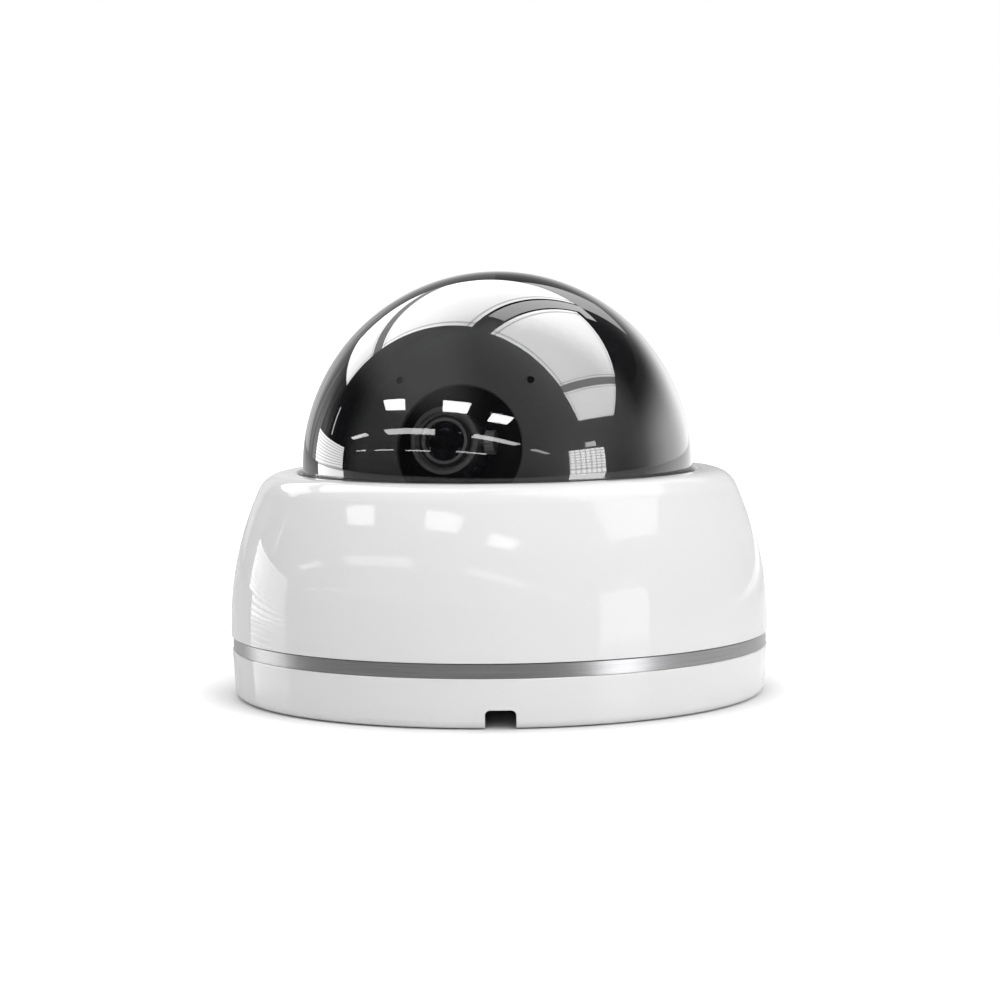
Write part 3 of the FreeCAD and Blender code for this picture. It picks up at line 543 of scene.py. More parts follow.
# ---- settings ----
Float = bpy.props.FloatProperty
Count = bpy.props.IntProperty


def colour_setting(name, description, default):
    return bpy.props.FloatVectorProperty(name=name, description=description, default=default,
                                         size=3, subtype="COLOR", min=0, max=1)


def length_setting(name, description, default):
    return Float(name=name, description=description, default=default, unit="LENGTH")


class ShellSettings(bpy.types.PropertyGroup):
    colour: colour_setting("Shell colour", "Colour of the cover and the base",
                           (0.833, 0.833, 0.833))
    roughness: Float(name="Shell roughness", description="How far the shell's gloss is blurred",
                     default=0.012, min=0, max=1)
    trim_colour: colour_setting("Trim colour", "Colour of the silver band", (0.20, 0.20, 0.203))
    trim_roughness: Float(name="Trim roughness", description="How far the band's shine is blurred",
                          default=0.30, min=0, max=1)


class BubbleSettings(bpy.types.PropertyGroup):
    colour: colour_setting("Smoke colour", "Colour of the bubble's tint", (0.006, 0.006, 0.007))
    density: Float(name="Smoke density", description="Share of the light that each face stops",
                   default=0.58, min=0, max=1, subtype="FACTOR")


class GimbalSettings(bpy.types.PropertyGroup):
    liner_colour: colour_setting("Liner colour", "Colour of the liner behind the bubble",
                                 (0.25, 0.25, 0.254))
    black: colour_setting("Moulding black", "Colour of the dark moulded parts",
                          (0.010, 0.010, 0.011))
    steel: colour_setting("Steel", "Colour of the screws, pins and pressed parts",
                          (0.50, 0.50, 0.50))


class BoardSettings(bpy.types.PropertyGroup):
    mask: colour_setting("Solder mask", "Colour of the circuit boards", (0.012, 0.085, 0.035))
    leg_pitch: length_setting("Leg pitch", "Distance between a chip's legs", 1.27 * MM)
    leg_width: length_setting("Leg width", "Width of a chip's leg", 0.42 * MM)
    legs_a_side: Count(name="Legs a side", description="Legs on each of a chip's two sides",
                       default=5, min=2, max=8)
    part_length: length_setting("Chip part length", "Length of a small ceramic part", 2.0 * MM)


class StageSettings(bpy.types.PropertyGroup):
    distance: length_setting("Camera distance", "From the camera to the pan axis", 0.680)
    height: length_setting("Camera height", "Height of the camera above the floor", 0.09805)
    aim: length_setting("Aim height", "Height on the pan axis that the camera looks at", 0.0461)
    aim_side: length_setting("Aim to the right", "How far right of the pan axis it looks", 0.00048)
    roll: Float(name="Camera roll", description="How far the camera leans",
                default=math.radians(0.69), unit="ROTATION")
    focal: Float(name="Focal length", description="Lens of the camera in millimetres",
                 default=100.87, min=10, max=300)
    ceiling: length_setting("Ceiling height", "Height of the soft boxes", 2.055)
    fill: Float(name="Fill", description="Strength of the even light from all round",
                default=0.575, min=0, max=5)
    key: Float(name="Key", description="Power of the large soft light in watts",
               default=18.5, min=0, max=500)


class DomeCameraSettings(bpy.types.PropertyGroup):
    shell: bpy.props.PointerProperty(type=ShellSettings)
    bubble: bpy.props.PointerProperty(type=BubbleSettings)
    gimbal: bpy.props.PointerProperty(type=GimbalSettings)
    board: bpy.props.PointerProperty(type=BoardSettings)
    stage: bpy.props.PointerProperty(type=StageSettings)


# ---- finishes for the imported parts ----
class FinishShell(bpy.types.Operator):
    """Gives the base and the cover their glossy white finish"""
    bl_idname = "dome_camera.finish_shell"
    bl_label = "Finish Shell"

    def execute(self, context):
        settings = context.scene.dome_camera.shell
        wear(gloss_moulding("shell_gloss_white", settings.colour, settings.roughness),
             "cover_shell", "base_housing")
        return {"FINISHED"}


class FinishTrim(bpy.types.Operator):
    """Gives the band between base and cover its brushed silver"""
    bl_idname = "dome_camera.finish_trim"
    bl_label = "Finish Trim"

    def execute(self, context):
        settings = context.scene.dome_camera.shell
        wear(brushed_band("band_brushed_silver", settings.trim_colour, settings.trim_roughness),
             "trim_ring")
        return {"FINISHED"}


class FinishBubble(bpy.types.Operator):
    """Gives the bubble its smoked, polished plastic"""
    bl_idname = "dome_camera.finish_bubble"
    bl_label = "Finish Bubble"

    def execute(self, context):
        settings = context.scene.dome_camera.bubble
        centre = JOINTS["module_turn"]["pos_m"]
        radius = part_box("dome_bubble")[1].z - centre[2]
        wear(smoked_clear("bubble_smoked", settings.colour, settings.density, centre,
                          radius - BUBBLE_HALF_WALL), "dome_bubble")
        return {"FINISHED"}


class FinishSeals(bpy.types.Operator):
    """Gives the foam gasket, the cable grommet and the bubble's seal their finishes"""
    bl_idname = "dome_camera.finish_seals"
    bl_label = "Finish Seals"

    def execute(self, context):
        wear(foam("gasket_foam", (0.030, 0.030, 0.031)), "mounting_gasket")
        wear(rubber("seal_rubber", (0.020, 0.020, 0.021)), "cable_grommet", "dome_seal")
        return {"FINISHED"}


class FinishGimbal(bpy.types.Operator):
    """Gives the pan base, turntable, yoke, cradle and liner their finishes"""
    bl_idname = "dome_camera.finish_gimbal"
    bl_label = "Finish Gimbal"

    def execute(self, context):
        settings = context.scene.dome_camera.gimbal
        wear(moulded("bearing_moulding", settings.black, 0.48), "pan_base", "turntable")
        wear(moulded("cradle_moulding", settings.black, 0.50, 1100.0), "cradle")
        wear(moulded("clamp_moulding", shade(settings.black, 1.4), 0.52, 700.0), "clamp_ring")
        wear(moulded("liner_satin", settings.liner_colour, 0.42, 1300.0, 0.00001), "inner_liner")
        wear(sheet_steel("yoke_plated_steel", (0.38, 0.38, 0.39), 0.34), "yoke")
        wear(nylon("washer_nylon", (0.62, 0.60, 0.54)), "friction_washer")
        wear(nylon("bush_nylon", (0.56, 0.55, 0.51)), "tilt_bushes")
        return {"FINISHED"}


class FinishScrews(bpy.types.Operator):
    """Gives the screws, pins, clips and retaining plates their steel"""
    bl_idname = "dome_camera.finish_screws"
    bl_label = "Finish Screws"

    def execute(self, context):
        steel = context.scene.dome_camera.gimbal.steel
        wear(sheet_steel("screw_zinc", steel, 0.32), "pan_base_screws", "board_screws",
             "clamp_screws", "yoke_screws", "module_screws", "board_spacers")
        wear(sheet_steel("screw_blackened", (0.03, 0.03, 0.032), 0.45), "liner_screws")
        wear(sheet_steel("pin_turned", shade(steel, 1.1), 0.22), "tilt_pins")
        wear(sheet_steel("spring_strip", shade(steel, 0.95), 0.25, (0.0, 0.0, 0.6)),
             "cover_clips", "pan_retainer")
        return {"FINISHED"}


class FinishModule(bpy.types.Operator):
    """Gives the camera module and its lens their finishes"""
    bl_idname = "dome_camera.finish_module"
    bl_label = "Finish Module"

    def execute(self, context):
        settings = context.scene.dome_camera.gimbal
        wear(moulded("module_moulding", settings.black, 0.46, 1200.0),
             "module_holder", "holder_retainer", "lens_mount")
        wear(moulded("shroud_moulding", shade(settings.black, 0.8), 0.55, 1200.0), "lens_shroud")
        satin = (2200.0, 0.00001)
        # The focus ring and the lens retainer are black anodised; their grey colour is painted
        # sheen, standing in for the light they reflect.
        wear(moulded("ring_painted_sheen", (0.40, 0.40, 0.405), 0.36, *satin), "focus_ring")
        wear(moulded("thumbscrew_satin", (0.74, 0.74, 0.75), 0.32, *satin), "lock_screw")
        wear(moulded("retainer_painted_sheen", (0.40, 0.40, 0.405), 0.34, *satin), "lens_retainer")
        wear(anodised("barrel_anodised", (0.045, 0.045, 0.047), 0.36), "lens_barrel")
        wear(coated_glass("front_glass", (0.20, 0.20, 0.24)), "front_element")
        wear(coated_glass("inner_glass", (0.08, 0.10, 0.09)), "middle_element", "rear_element")
        wear(coated_glass("filter_glass", (0.30, 0.16, 0.13)), "ir_filter")
        wear(sensor_face("sensor_die"), "image_sensor")
        return {"FINISHED"}


class FinishBoards(bpy.types.Operator):
    """Gives the circuit boards and the parts on them their finishes"""
    bl_idname = "dome_camera.finish_boards"
    bl_label = "Finish Boards"

    def execute(self, context):
        wear(board_mask("solder_mask", context.scene.dome_camera.board.mask),
             "main_board", "sensor_board", "signal_board")
        wear(nylon("header_cream", (0.58, 0.54, 0.42)), "board_headers", "module_header")
        wear(tinned("capacitor_can", (0.52, 0.52, 0.53)), "board_capacitors")
        wear(moulded("chip_epoxy", (0.014, 0.014, 0.015), 0.50, 1600.0), "board_chips")
        wear(moulded("switch_case", (0.018, 0.018, 0.019), 0.50), "reset_switch")
        wear(rubber("button_black", (0.018, 0.018, 0.019)), "reset_button")
        return {"FINISHED"}


# ---- small pieces on the boards ----
CHIP_ANGLES = (158.0, 204.0, 336.0)
CAPACITOR_ANGLES = (66.0, 114.0, 180.0)
BOARD_REACH = 30.0 * MM         # from the pan axis to the middle of the main board
CHIP_HALF = 4.0 * MM
LEG_ROOT = 0.5 * MM
LEG_ROOT_OUT = 0.15 * MM        # how far its middle is out of the chip's side
LEG_THICK = 0.14 * MM
LEG_SLOPE = 0.30 * MM
LEG_TOE = 0.55 * MM
FOOT_SIDE = 6.7 * MM
FOOT_HEIGHT = 0.9 * MM
FOOT_MIDDLE = 1.0 * MM          # further out than the middle of the can
FOOT_CUT = 1.1 * MM             # the cut corners of a capacitor's foot
FOOT_RAISE = 0.18 * MM
FOOT_ROUND = 0.12 * MM
PROCESSOR_SIZE = (7.0 * MM, 5.4 * MM, 1.1 * MM)
PROCESSOR_UP = 7.3 * MM         # above the module's axis
PROCESSOR_ROUND = 0.12 * MM
PROCESSOR_SINK = 0.05 * MM
RIM = 0.35 * MM                 # the plain rim round a raised or sunk face
LID_SIDE = 5.7 * MM
LID_THICK = 0.16 * MM
LID_BORE = 2.0 * MM
STAKE_REACH = 2.2 * MM
STAKE_RADIUS = 0.42 * MM
STAKE_LOW, STAKE_TOP = 0.14 * MM, 0.36 * MM
STAKE_ROUND = 0.08 * MM


class AddChipLegs(bpy.types.Operator):
    """Adds the tinned legs along two sides of each chip on the main board"""
    bl_idname = "dome_camera.add_chip_legs"
    bl_label = "Add Chip Legs"

    def execute(self, context):
        settings = context.scene.dome_camera.board
        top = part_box("main_board")[1].z
        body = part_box("board_chips")[1].z - top
        # one leg, on the chip's +Y side: out at half height, down, and out along the board
        leg = start_box((0, CHIP_HALF + LEG_ROOT_OUT, body / 2),
                        (settings.leg_width, LEG_ROOT, LEG_THICK))
        start_edit(leg, lambda middle, normal: normal.y > 0.9)
        extrude((0, LEG_SLOPE, LEG_THICK - body / 2))
        extrude((0, LEG_TOE, 0))
        end_edit()
        first = -(settings.legs_a_side - 1) / 2
        row = spread(leg, [Matrix.Rotation(side, 4, "Z")
                           @ Matrix.Translation(((first + i) * settings.leg_pitch, 0, 0))
                           for side in (0.0, math.pi) for i in range(settings.legs_a_side)])
        legs = spread(row, [board_spot(angle, BOARD_REACH, top) for angle in CHIP_ANGLES])
        settle(legs, "chip_legs", tinned("leg_tin", (0.62, 0.62, 0.60)))
        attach(legs, "housing")
        return {"FINISHED"}


class AddCapacitorFeet(bpy.types.Operator):
    """Adds the black square foot, with two cut corners, under each capacitor"""
    bl_idname = "dome_camera.add_capacitor_feet"
    bl_label = "Add Capacitor Feet"

    def execute(self, context):
        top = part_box("main_board")[1].z
        foot = start_box((FOOT_MIDDLE, 0, FOOT_HEIGHT / 2), (FOOT_SIDE, FOOT_SIDE, FOOT_HEIGHT))
        bevelled(foot, FOOT_CUT, 1, lambda middle, along:
                 abs(along.z) > FOOT_HEIGHT / 2 and middle.x > FOOT_MIDDLE)
        bevelled(foot, FOOT_ROUND, 2, lambda middle, along: middle.z > 0.9 * FOOT_HEIGHT)
        raise_middle(foot, FOOT_RAISE)
        feet = spread(foot, [board_spot(angle, BOARD_REACH, top) for angle in CAPACITOR_ANGLES])
        settle(feet, "capacitor_feet", moulded("foot_black", (0.016, 0.016, 0.017), 0.5, 1500.0))
        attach(feet, "housing")
        return {"FINISHED"}


def raise_middle(part, step):
    """Lifts or sinks the middle of the upper face, inside a plain rim."""
    start_edit(part, lambda middle, normal: normal.z > 0.9)
    bpy.ops.mesh.inset(thickness=RIM, depth=0.0)
    extrude((0, 0, step))
    end_edit()


def small_part_set(length):
    """A ceramic block and its two tinned ends, standing on height 0 along X."""
    body = start_box((0, 0, 0.30 * length), (0.62 * length, 0.60 * length, 0.50 * length))
    bevelled(body, 0.03 * length, 1)
    ends = []
    for sign in (-1, 1):
        end = start_box((sign * 0.40 * length, 0, 0.28 * length),
                        (0.20 * length, 0.62 * length, 0.56 * length))
        ends.append(bevelled(end, 0.05 * length, 2))
    return body, joined(ends)


def scatter(length, spots, names, finishes, owner):
    """A small part at each spot: one piece of all the bodies and one of all the ends."""
    for part, name, finish, slot in zip(small_part_set(length), names, finishes,
                                        ("chip_black", "screw_steel")):
        piece = settle(spread(part, spots), name, finish)
        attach(piece, owner)


class AddMainBoardParts(bpy.types.Operator):
    """Adds the small ceramic parts with tinned ends to the main board"""
    bl_idname = "dome_camera.add_main_board_parts"
    bl_label = "Add Main Board Parts"

    def execute(self, context):
        length = context.scene.dome_camera.board.part_length
        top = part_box("main_board")[1].z
        layout = [(14, 27, 90), (14, 32, 90), (22, 29, 0), (28, 33, 90), (33, 26, 0), (56, 26, 90),
                  (57, 33, 0), (78, 26, 0), (101, 27, 90), (102, 33, 90), (124, 27, 0),
                  (125, 33, 90), (145, 27, 0), (146, 33.5, 90), (170, 26, 90), (190, 27, 0),
                  (191, 33, 90), (215, 33, 0), (216, 26, 90), (236, 28, 0), (240, 33, 90),
                  (247, 27, 90), (301, 33, 0), (303, 27, 90), (306, 30, 0), (323, 27, 90),
                  (324, 33, 0), (348, 27, 90), (349, 33, 90)]
        spots = [board_spot(a, r * MM, top, spin) for a, r, spin in layout]
        scatter(length, spots, ("main_board_ceramics", "main_board_ends"),
                (ceramic("ceramic_tan", (0.22, 0.15, 0.09)), tinned("end_tin", (0.6, 0.6, 0.58))),
                "housing")
        return {"FINISHED"}


class AddModuleBoardParts(bpy.types.Operator):
    """Adds the small parts and the processor to the back of the module's rear board"""
    bl_idname = "dome_camera.add_module_board_parts"
    bl_label = "Add Module Board Parts"

    def execute(self, context):
        length = context.scene.dome_camera.board.part_length * 0.8
        lens = lens_matrix()
        back = min((lens.inverted() @ v.co).z for v in NODES["signal_board"].data.vertices)
        onto_back = lens @ Matrix.Translation((0, 0, back)) @ Matrix.Rotation(math.pi, 4, "Y")
        layout = [(-9, 9.5, 0), (-9, 12, 0), (-5.5, 12.5, 90), (4, 12, 0), (7.5, 12, 90),
                  (9.5, 9, 0), (-11, 5, 90), (11, 5, 90), (-12.5, 1, 0), (12.5, 0, 0),
                  (-11, -4, 90), (11.5, -5, 0), (-8, -11.5, 0), (-4, -12, 90), (8, -12, 90),
                  (5, -12.5, 0)]
        spots = [onto_back @ Matrix.Translation((x * MM, y * MM, 0))
                 @ Matrix.Rotation(math.radians(spin), 4, "Z") for x, y, spin in layout]
        scatter(length, spots, ("module_board_ceramics", "module_board_ends"),
                (ceramic("ceramic_grey", (0.12, 0.11, 0.11)),
                 tinned("end_tin_fine", (0.6, 0.6, 0.58))), "module")
        chip = bevelled(start_box((0, PROCESSOR_UP, PROCESSOR_SIZE[2] / 2), PROCESSOR_SIZE),
                        PROCESSOR_ROUND, 2)
        raise_middle(chip, -PROCESSOR_SINK)
        chip.data.transform(onto_back)
        settle(chip, "module_processor",
               moulded("processor_epoxy", (0.014, 0.014, 0.015), 0.46, 1600.0))
        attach(chip, "module")
        return {"FINISHED"}


class AddSwitchLid(bpy.types.Operator):
    """Adds the tin lid, with four stakes, on the reset switch"""
    bl_idname = "dome_camera.add_switch_lid"
    bl_label = "Add Switch Lid"

    def execute(self, context):
        low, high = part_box("reset_switch")
        middle = (low + high) / 2
        lid = start_box((middle.x, middle.y, high.z + LID_THICK / 2),
                        (LID_SIDE, LID_SIDE, LID_THICK))
        bore = start_rod((middle.x, middle.y, high.z), LID_BORE, 1.0 * MM, 40)
        select_only(lid)
        cut = lid.modifiers.new("bore", "BOOLEAN")
        cut.operation = "DIFFERENCE"
        cut.object = bore
        bpy.ops.object.modifier_apply(modifier=cut.name)
        bpy.data.objects.remove(bore)
        stake = start_rod((0, 0, (STAKE_LOW + STAKE_TOP) / 2), STAKE_RADIUS,
                          STAKE_TOP - STAKE_LOW, 16)
        bevelled(stake, STAKE_ROUND, 2, lambda place, along: place.z > 0.9 * STAKE_TOP)
        corners = [Matrix.Translation((middle.x + sx * STAKE_REACH, middle.y + sy * STAKE_REACH,
                                       high.z)) for sx in (-1, 1) for sy in (-1, 1)]
        lid = settle(joined([lid, spread(stake, corners)]), "switch_lid",
                     tinned("lid_tin", (0.6, 0.6, 0.6)), soft=True)
        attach(lid, "housing")
        return {"FINISHED"}


# ---- stage ----
ROWS_TURN = -35.0               # of the ceiling's rows, from across the picture
# soft boxes in the ceiling: along and across the rows from, to, brightness, frame, fade, turn
SOFT_BOXES = {
    "window_left": ((-4.70, -2.74), (-0.10, 2.38), 5.6, 0.03, 0.0, 0.0),
    "window_top": ((-2.36, -0.35), (-0.10, 2.34), 7.4, 0.03, 0.2, 0.0),
    "window_right": ((0.01, 1.98), (-0.16, 1.90), 10.2, 0.03, 0.3, 0.0),
    "window_low": ((2.28, 4.24), (-0.19, 1.87), 10.4, 0.03, 0.1, 0.0),
    "mullion_left": ((-2.74, -2.36), (-0.10, 2.38), 0.8, 0.0, 0.0, 0.0),
    "mullion_right": ((1.98, 2.28), (-0.16, 1.88), 1.6, 0.0, 0.0, 0.0),
    "panel_gap": ((-0.30, -0.03), (0.25, 2.04), 3.0, 0.0, 0.0, 0.0),
    "panel_side": ((-0.30, 0.15), (2.04, 2.38), 2.8, 0.0, 0.0, 0.0),
    "panel_back": ((-1.30, -0.25), (2.38, 4.30), 1.9, 0.0, 0.5, 0.0),
    "lamp_left": ((-2.53, -1.53), (-2.94, -2.30), 20.0, 0.0, 0.0, -8.0),
    "lamp_middle": ((-0.12, 0.76), (-2.98, -2.36), 20.0, 0.0, 0.0, 7.0),
    "lamp_right": ((1.62, 2.48), (-3.02, -2.38), 20.0, 0.0, 0.0, 14.0),
    "tube_1": ((-9.00, -5.75), (-5.20, -4.60), 9.0, 0.0, 0.0, 0.0),
    "tube_2": ((-3.70, -0.30), (-5.40, -4.60), 9.0, 0.0, 0.0, 0.0),
    "tube_3": ((1.80, 5.20), (-5.20, -4.55), 9.0, 0.0, 0.0, 0.0),
    "tube_4": ((7.30, 10.60), (-5.40, -4.70), 5.0, 0.0, 0.0, 0.0),
    "tube_5": ((-13.80, -10.60), (-9.60, -9.10), 12.0, 0.0, 0.0, 0.0),
    "tube_6": ((-8.60, -5.30), (-9.90, -9.40), 9.0, 0.0, 0.0, 0.0),
    "tube_7": ((-3.70, -0.80), (-10.1, -9.60), 9.0, 0.0, 0.0, 0.0),
    "tube_8": ((1.80, 5.10), (-9.60, -9.10), 9.0, 0.0, 0.0, 0.0),
}
FRAME_DIM = 0.45                # how much a soft box's frame takes off
BARS_UP = (0.5, 0.30)           # how much the bars take off, and their share of each step
BARS_ACROSS = (0.4, 0.30)

STANDING_DISTANCE = 3.9
# soft boxes that stand upright: bearing, width, low, high, brightness, bars up, bars across
STANDING_BOXES = {
    "blinds_left": (-118.0, 2.24, 0.002, 0.54, 6.0, 9, 0),
    "grid_right": (53.5, 1.60, 0.002, 0.78, 14.0, 8, 7),
    "sign_right": (56.5, 0.48, 0.85, 1.02, 7.0, 0, 0),
    "cord_left": (-117.2, 0.07, 0.65, 1.30, 3.5, 0, 0),
}


def area_light(name, shape, size, power):
    """A flat light that the camera doesn't see."""
    data = bpy.data.lights.new(name, "AREA")
    data.shape = shape
    data.size, data.size_y = size
    data.energy = power
    lamp = bpy.data.objects.new(name, data)
    lamp.visible_camera = False
    bpy.context.scene.collection.objects.link(lamp)
    return lamp


def light_recipe(lamp):
    """The nodes of a light, and the one that sets its strength."""
    lamp.data.use_nodes = True
    tree = lamp.data.node_tree
    return Recipe(tree), tree.nodes["Emission"]


def behind_bars(recipe, edge, count, dim, share):
    """What so many even bars leave of a light."""
    return 1.0 - dim * (recipe.part_of(edge * float(count)) < share)


def frame_pattern(lamp, frame=0.0, fade=0.0, up=0, over=0):
    """Dims a soft box along its frame, towards its far edge and on its bars."""
    recipe, emission = light_recipe(lamp)
    across, along = recipe.axes(recipe.node("ShaderNodeNewGeometry", output="Parametric"))[:2]
    light = 1.0 - along * fade
    if frame:
        for edge in (across, along):
            inset = recipe.node("ShaderNodeMath", {"operation": "PINGPONG"}, {0: edge, 1: 0.5})
            light = light * (1.0 - FRAME_DIM * (inset > frame) * (inset < frame * 1.6))
    if up:
        light = light * behind_bars(recipe, along, up, *BARS_UP)
    if over:
        light = light * behind_bars(recipe, across, over, *BARS_ACROSS)
    recipe.link(light, emission, "Strength")


def mirrored_lamp(name, width, height, bright):
    """A lamp that shows in glossy surfaces and adds nothing to the plain light."""
    lamp = area_light(name, "RECTANGLE", (width, height), bright * math.pi * width * height)
    lamp.visible_diffuse = False
    return lamp


def stand(lamp, turn, distance, height):
    """Stands a lamp upright at a bearing, facing the object."""
    lamp.location = (distance * math.sin(turn), -distance * math.cos(turn), height)
    lamp.rotation_euler = (math.radians(90.0), 0.0, turn)


def soft_box(name, along, across, bright, frame, fade, turn, height):
    """A soft box in the ceiling."""
    lamp = mirrored_lamp(name, along[1] - along[0], across[1] - across[0], bright)
    if frame or fade:
        frame_pattern(lamp, frame, fade)
    middle = Vector((sum(along) / 2, sum(across) / 2, height))
    lamp.location = Matrix.Rotation(math.radians(ROWS_TURN), 3, "Z") @ middle
    lamp.rotation_euler = (0.0, 0.0, math.radians(ROWS_TURN + turn))


def side_box(name, turn, width, low, high, bright, up, over):
    """A soft box that stands upright and faces the object."""
    lamp = mirrored_lamp(name, width, high - low, bright)
    if up:
        frame_pattern(lamp, up=up, over=over)
    stand(lamp, math.radians(turn), STANDING_DISTANCE, (low + high) / 2)


def studio_light(name, place, aim, size, power):
    """A large soft light for the object's shading, left out of its reflections."""
    lamp = area_light(name, "DISK", (size, size), power)
    lamp.location = place
    lamp.rotation_euler = (Vector(aim) - Vector(place)).to_track_quat("-Z", "Y").to_euler()
    lamp.visible_glossy = False


def bearing(recipe, x, y):
    """The direction of a place in the plan: 0 to the front, growing to the right."""
    return recipe.angle(x, y * -1.0)


# light patches on the floor: middle of the fan, bearings from and to, brightness near and far,
# and how many slats cross them for each step away
FLOOR_PATCHES = (((0.0074, -0.0448), (42.0, 65.0), 4.2, 10.0, 0),
                 ((-0.0399, -0.0448), (-131.0, -102.0), 3.6, 6.0, 46))
FLOOR_LIFT = 0.60               # light added where the camera sees the floor
FLOOR_EDGE = (0.062, 0.085)     # from the foot's edge, where the lift fades in
NEAR_FLOOR = (0.25, 0.40)       # where the floor close by gives way
FAR_FLOOR = (0.60, 0.90)        # where the floor further off starts
SLAT_REACH = 0.022              # how fast the slats close up going out
SLATS = (0.65, 0.36)            # how much they take off, and their share of each step

# the pale wall behind on the right: bearings from and to, and how many panels
WALL_PANELS = (79.0, 180.0, 5)
WALL_DISTANCE = 3.6
WALL_HEIGHT = 2.0
WALL_BRIGHT = 1.70              # as the bubble mirrors it
WALL_ELSEWHERE = 0.40           # as everything else mirrors it
DARK_ROOM = 0.008               # the least that a mirror shows


def wall_shape(recipe, direction):
    """The pale wall: it brightens towards the back and fades upwards."""
    x, y, z = recipe.axes(direction)
    turn = bearing(recipe, x, y)
    wall = recipe.sweep(turn, 79.0, 124.0) * recipe.sweep(turn, 150.0, 178.0, 1.0, 0.22)
    return wall * recipe.ease(z, 0.12, 0.45, 1.0, 0.04)


def wall_panels():
    """The pale wall as upright panels, kept to the bubble so that the shell's edge stays clear."""
    first, last, count = WALL_PANELS
    step = math.radians((last - first) / count)
    bubble_only = bpy.data.collections.new("bubble_only")
    bubble_only.objects.link(bpy.data.objects["dome_bubble"])
    for i in range(count):
        lamp = mirrored_lamp("wall_%d" % (i + 1), 2.0 * WALL_DISTANCE * math.tan(step / 2.0),
                             WALL_HEIGHT, WALL_BRIGHT)
        recipe, emission = light_recipe(lamp)
        spot = recipe.node("ShaderNodeNewGeometry", output="Position")
        direction = recipe.node("ShaderNodeVectorMath", {"operation": "NORMALIZE"}, {0: spot})
        recipe.link(wall_shape(recipe, direction), emission, "Strength")
        stand(lamp, math.radians(first) + step * (i + 0.5), WALL_DISTANCE, WALL_HEIGHT / 2)
        lamp.light_linking.receiver_collection = bubble_only


def floor_finish():
    """White floor: lifted to white where the camera sees it, with light patches in mirrors."""
    finish = Finish("floor_white", Roughness=1.0, Specular_IOR_Level=0.0, Emission_Strength=1.0)
    place = finish.place()
    finish.feed("Base Color", finish.mix(finish.noise(place, 30.0, 2.0), (0.80, 0.80, 0.80, 1),
                                         (0.82, 0.82, 0.82, 1)))
    camera, glossy = finish.rays("Camera", "Glossy")
    from_axis = finish.node("ShaderNodeVectorMath", {"operation": "LENGTH"}, {0: place}, output=1)
    outside = finish.between(from_axis, *FLOOR_EDGE)
    x, y = finish.axes(place)[:2]
    turn = bearing(finish, x, y)
    far = finish.ease(from_axis, *NEAR_FLOOR)
    shine = (1.0 - far) * finish.sweep(turn, 0.0, 75.0, 0.0, 0.9)
    shine = shine * finish.sweep(turn, 84.0, 120.0, 1.0, 0.35)
    beyond = finish.ease(from_axis, *FAR_FLOOR) * (from_axis < WALL_DISTANCE)
    shine = shine + beyond * finish.sweep(turn, 84.0, 126.0, 0.0, 1.1)
    step_away = SLAT_REACH / (from_axis - FLOOR_EDGE[0])
    for (fan_x, fan_y), (first, last), near_light, far_light, slats in FLOOR_PATCHES:
        turn = bearing(finish, x - fan_x, y - fan_y)
        lit = (turn > math.radians(first)) * (turn < math.radians(last))
        if slats:
            lit = lit * behind_bars(finish, step_away, slats, *SLATS)
        shine = shine + lit * (near_light + far * (far_light - near_light))
    finish.feed("Emission Color",
                outside * (camera * FLOOR_LIFT + (1.0 - camera) * glossy * shine))
    return finish.material


def build_world(fill):
    """Even light all round, a white background, and a studio that is darker in front."""
    world = bpy.data.worlds.new("studio")
    bpy.context.scene.world = world
    world.use_nodes = True
    tree = world.node_tree
    recipe = Recipe(tree)
    back = tree.nodes["Background"]
    direction = recipe.node("ShaderNodeTexCoord", output="Generated")
    x, y, z = recipe.axes(direction)
    camera, glossy, through = recipe.rays("Camera", "Glossy", "Transmission")
    mirrored = 1.0 - (1.0 - glossy) * (1.0 - through)
    turn = bearing(recipe, x, y)
    wall = wall_shape(recipe, direction) * WALL_ELSEWHERE
    folds = recipe.noise(recipe.stretched(direction, (7.0, 7.0, 0.8)), 1.0, 2.0, 0.7)
    folds = recipe.ease(folds, 0.35, 0.65, 0.3, 1.6)
    plain_side = recipe.sweep(turn, -178.0, -160.0, 1.0, 0.0)
    curtain = recipe.sweep(turn, -136.0, -112.0, 0.46, 0.0)
    curtain = curtain * (turn < 0.0) * (plain_side + (1.0 - plain_side) * folds)
    curtain = curtain * recipe.ease(z, 0.12, 0.40, 1.0, 0.25)
    back_wall = recipe.ease(y, 0.55, 0.85, 0.0, 0.35) * recipe.ease(z, 0.2, 0.6, 1.0, 0.4)
    glow = recipe.ease(x, -0.50, -0.08, 0.50, 0.0) * recipe.ease(z, 0.42, 0.72)
    room = DARK_ROOM + wall + curtain + back_wall + glow
    plain = (1.0 - camera) * (1.0 - mirrored) * fill
    recipe.link(camera + mirrored * room * (1.0 - camera) + plain, back, "Strength")
    back.inputs["Color"].default_value = (1, 1, 1, 1)


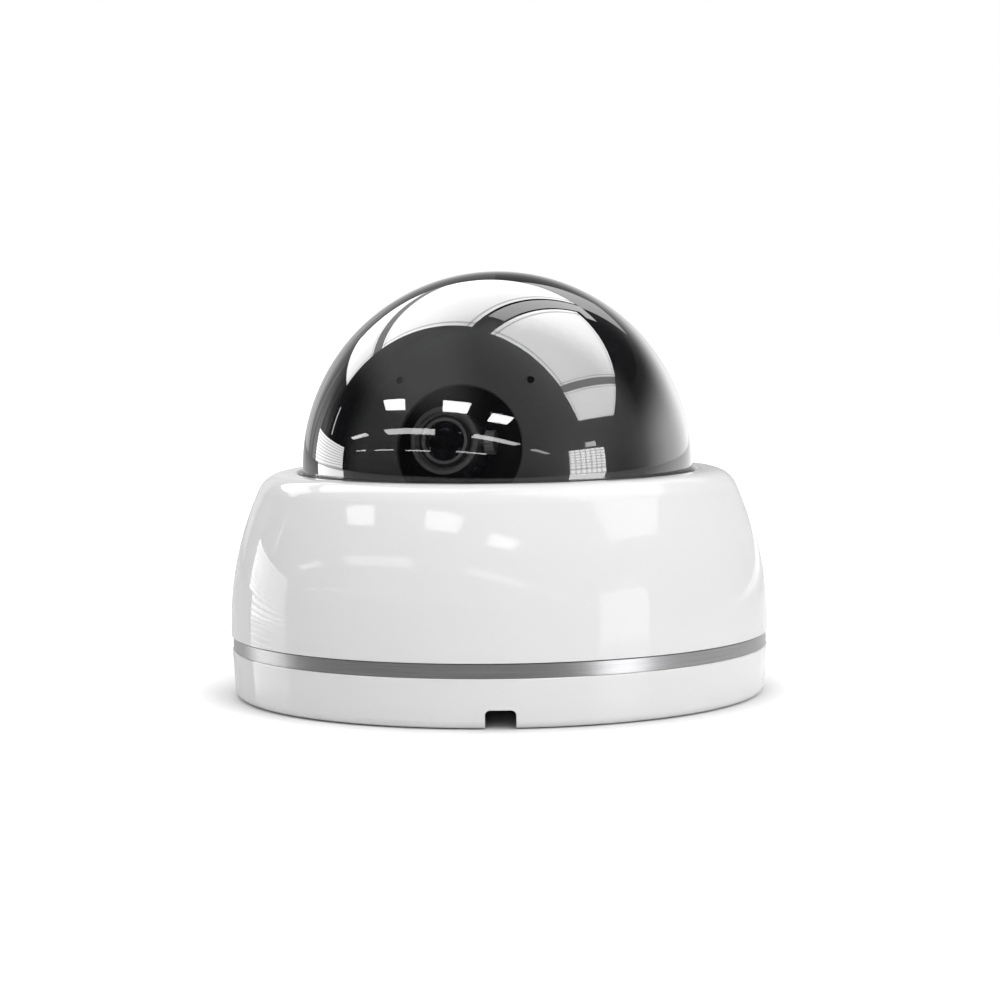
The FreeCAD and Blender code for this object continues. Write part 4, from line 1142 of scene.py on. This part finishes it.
class SetStage(bpy.types.Operator):
    """Builds the floor, the lights, the background and the camera"""
    bl_idname = "dome_camera.set_stage"
    bl_label = "Set Stage"

    def execute(self, context):
        settings = context.scene.dome_camera.stage
        clear_selection()
        bpy.ops.mesh.primitive_plane_add(size=8.0, location=(0, 0, -0.0002))
        floor = bpy.context.object
        floor.name = "floor"
        floor.data.materials.append(floor_finish())
        build_world(settings.fill)
        for name, values in SOFT_BOXES.items():
            soft_box(name, *values, settings.ceiling)
        for name, values in STANDING_BOXES.items():
            side_box(name, *values)
        wall_panels()
        studio_light("key", (1.1, -1.3, 1.5), (0, 0, 0.04), 1.4, settings.key)
        studio_light("top", (-0.3, 0.2, 1.9), (0, 0, 0.04), 1.6, settings.key * 0.6)

        data = bpy.data.cameras.new("camera")
        data.lens = settings.focal
        data.sensor_width = 36.0
        camera = bpy.data.objects.new("camera", data)
        place = Vector((0.0, -settings.distance, settings.height))
        look = Vector((settings.aim_side, 0.0, settings.aim)) - place
        turn = look.to_track_quat("-Z", "Y").to_matrix() @ Matrix.Rotation(-settings.roll, 3, "Z")
        camera.matrix_world = Matrix.Translation(place) @ turn.to_4x4()
        context.scene.collection.objects.link(camera)
        context.scene.camera = camera
        context.scene.view_settings.view_transform = "Standard"
        return {"FINISHED"}


# ---- panel and registration ----
STEPS = (FinishShell, FinishTrim, FinishBubble, FinishSeals, FinishGimbal, FinishScrews,
         FinishModule, FinishBoards, AddChipLegs, AddCapacitorFeet, AddMainBoardParts,
         AddModuleBoardParts, AddSwitchLid, SetStage)


class DomeCameraPanel(bpy.types.Panel):
    """Lists the dome camera's settings and steps"""
    bl_idname = "VIEW3D_PT_dome_camera"
    bl_label = "Dome Camera"
    bl_space_type = "VIEW_3D"
    bl_region_type = "UI"
    bl_category = "Dome Camera"

    def draw(self, context):
        settings = context.scene.dome_camera
        for group in (settings.shell, settings.bubble, settings.gimbal, settings.board,
                      settings.stage):
            box = self.layout.box()
            for name in group.__annotations__:
                box.prop(group, name)
        for step in STEPS:
            self.layout.operator(step.bl_idname)


CLASSES = (ShellSettings, BubbleSettings, GimbalSettings, BoardSettings, StageSettings,
           DomeCameraSettings) + STEPS + (DomeCameraPanel,)


def register():
    for item in CLASSES:
        bpy.utils.register_class(item)
    bpy.types.Scene.dome_camera = bpy.props.PointerProperty(type=DomeCameraSettings)


def unregister():
    del bpy.types.Scene.dome_camera
    for item in reversed(CLASSES):
        bpy.utils.unregister_class(item)


def main():
    register()
    for step in STEPS:
        group, name = step.bl_idname.split(".")
        getattr(getattr(bpy.ops, group), name)()


if __name__ == "__main__":
    main()
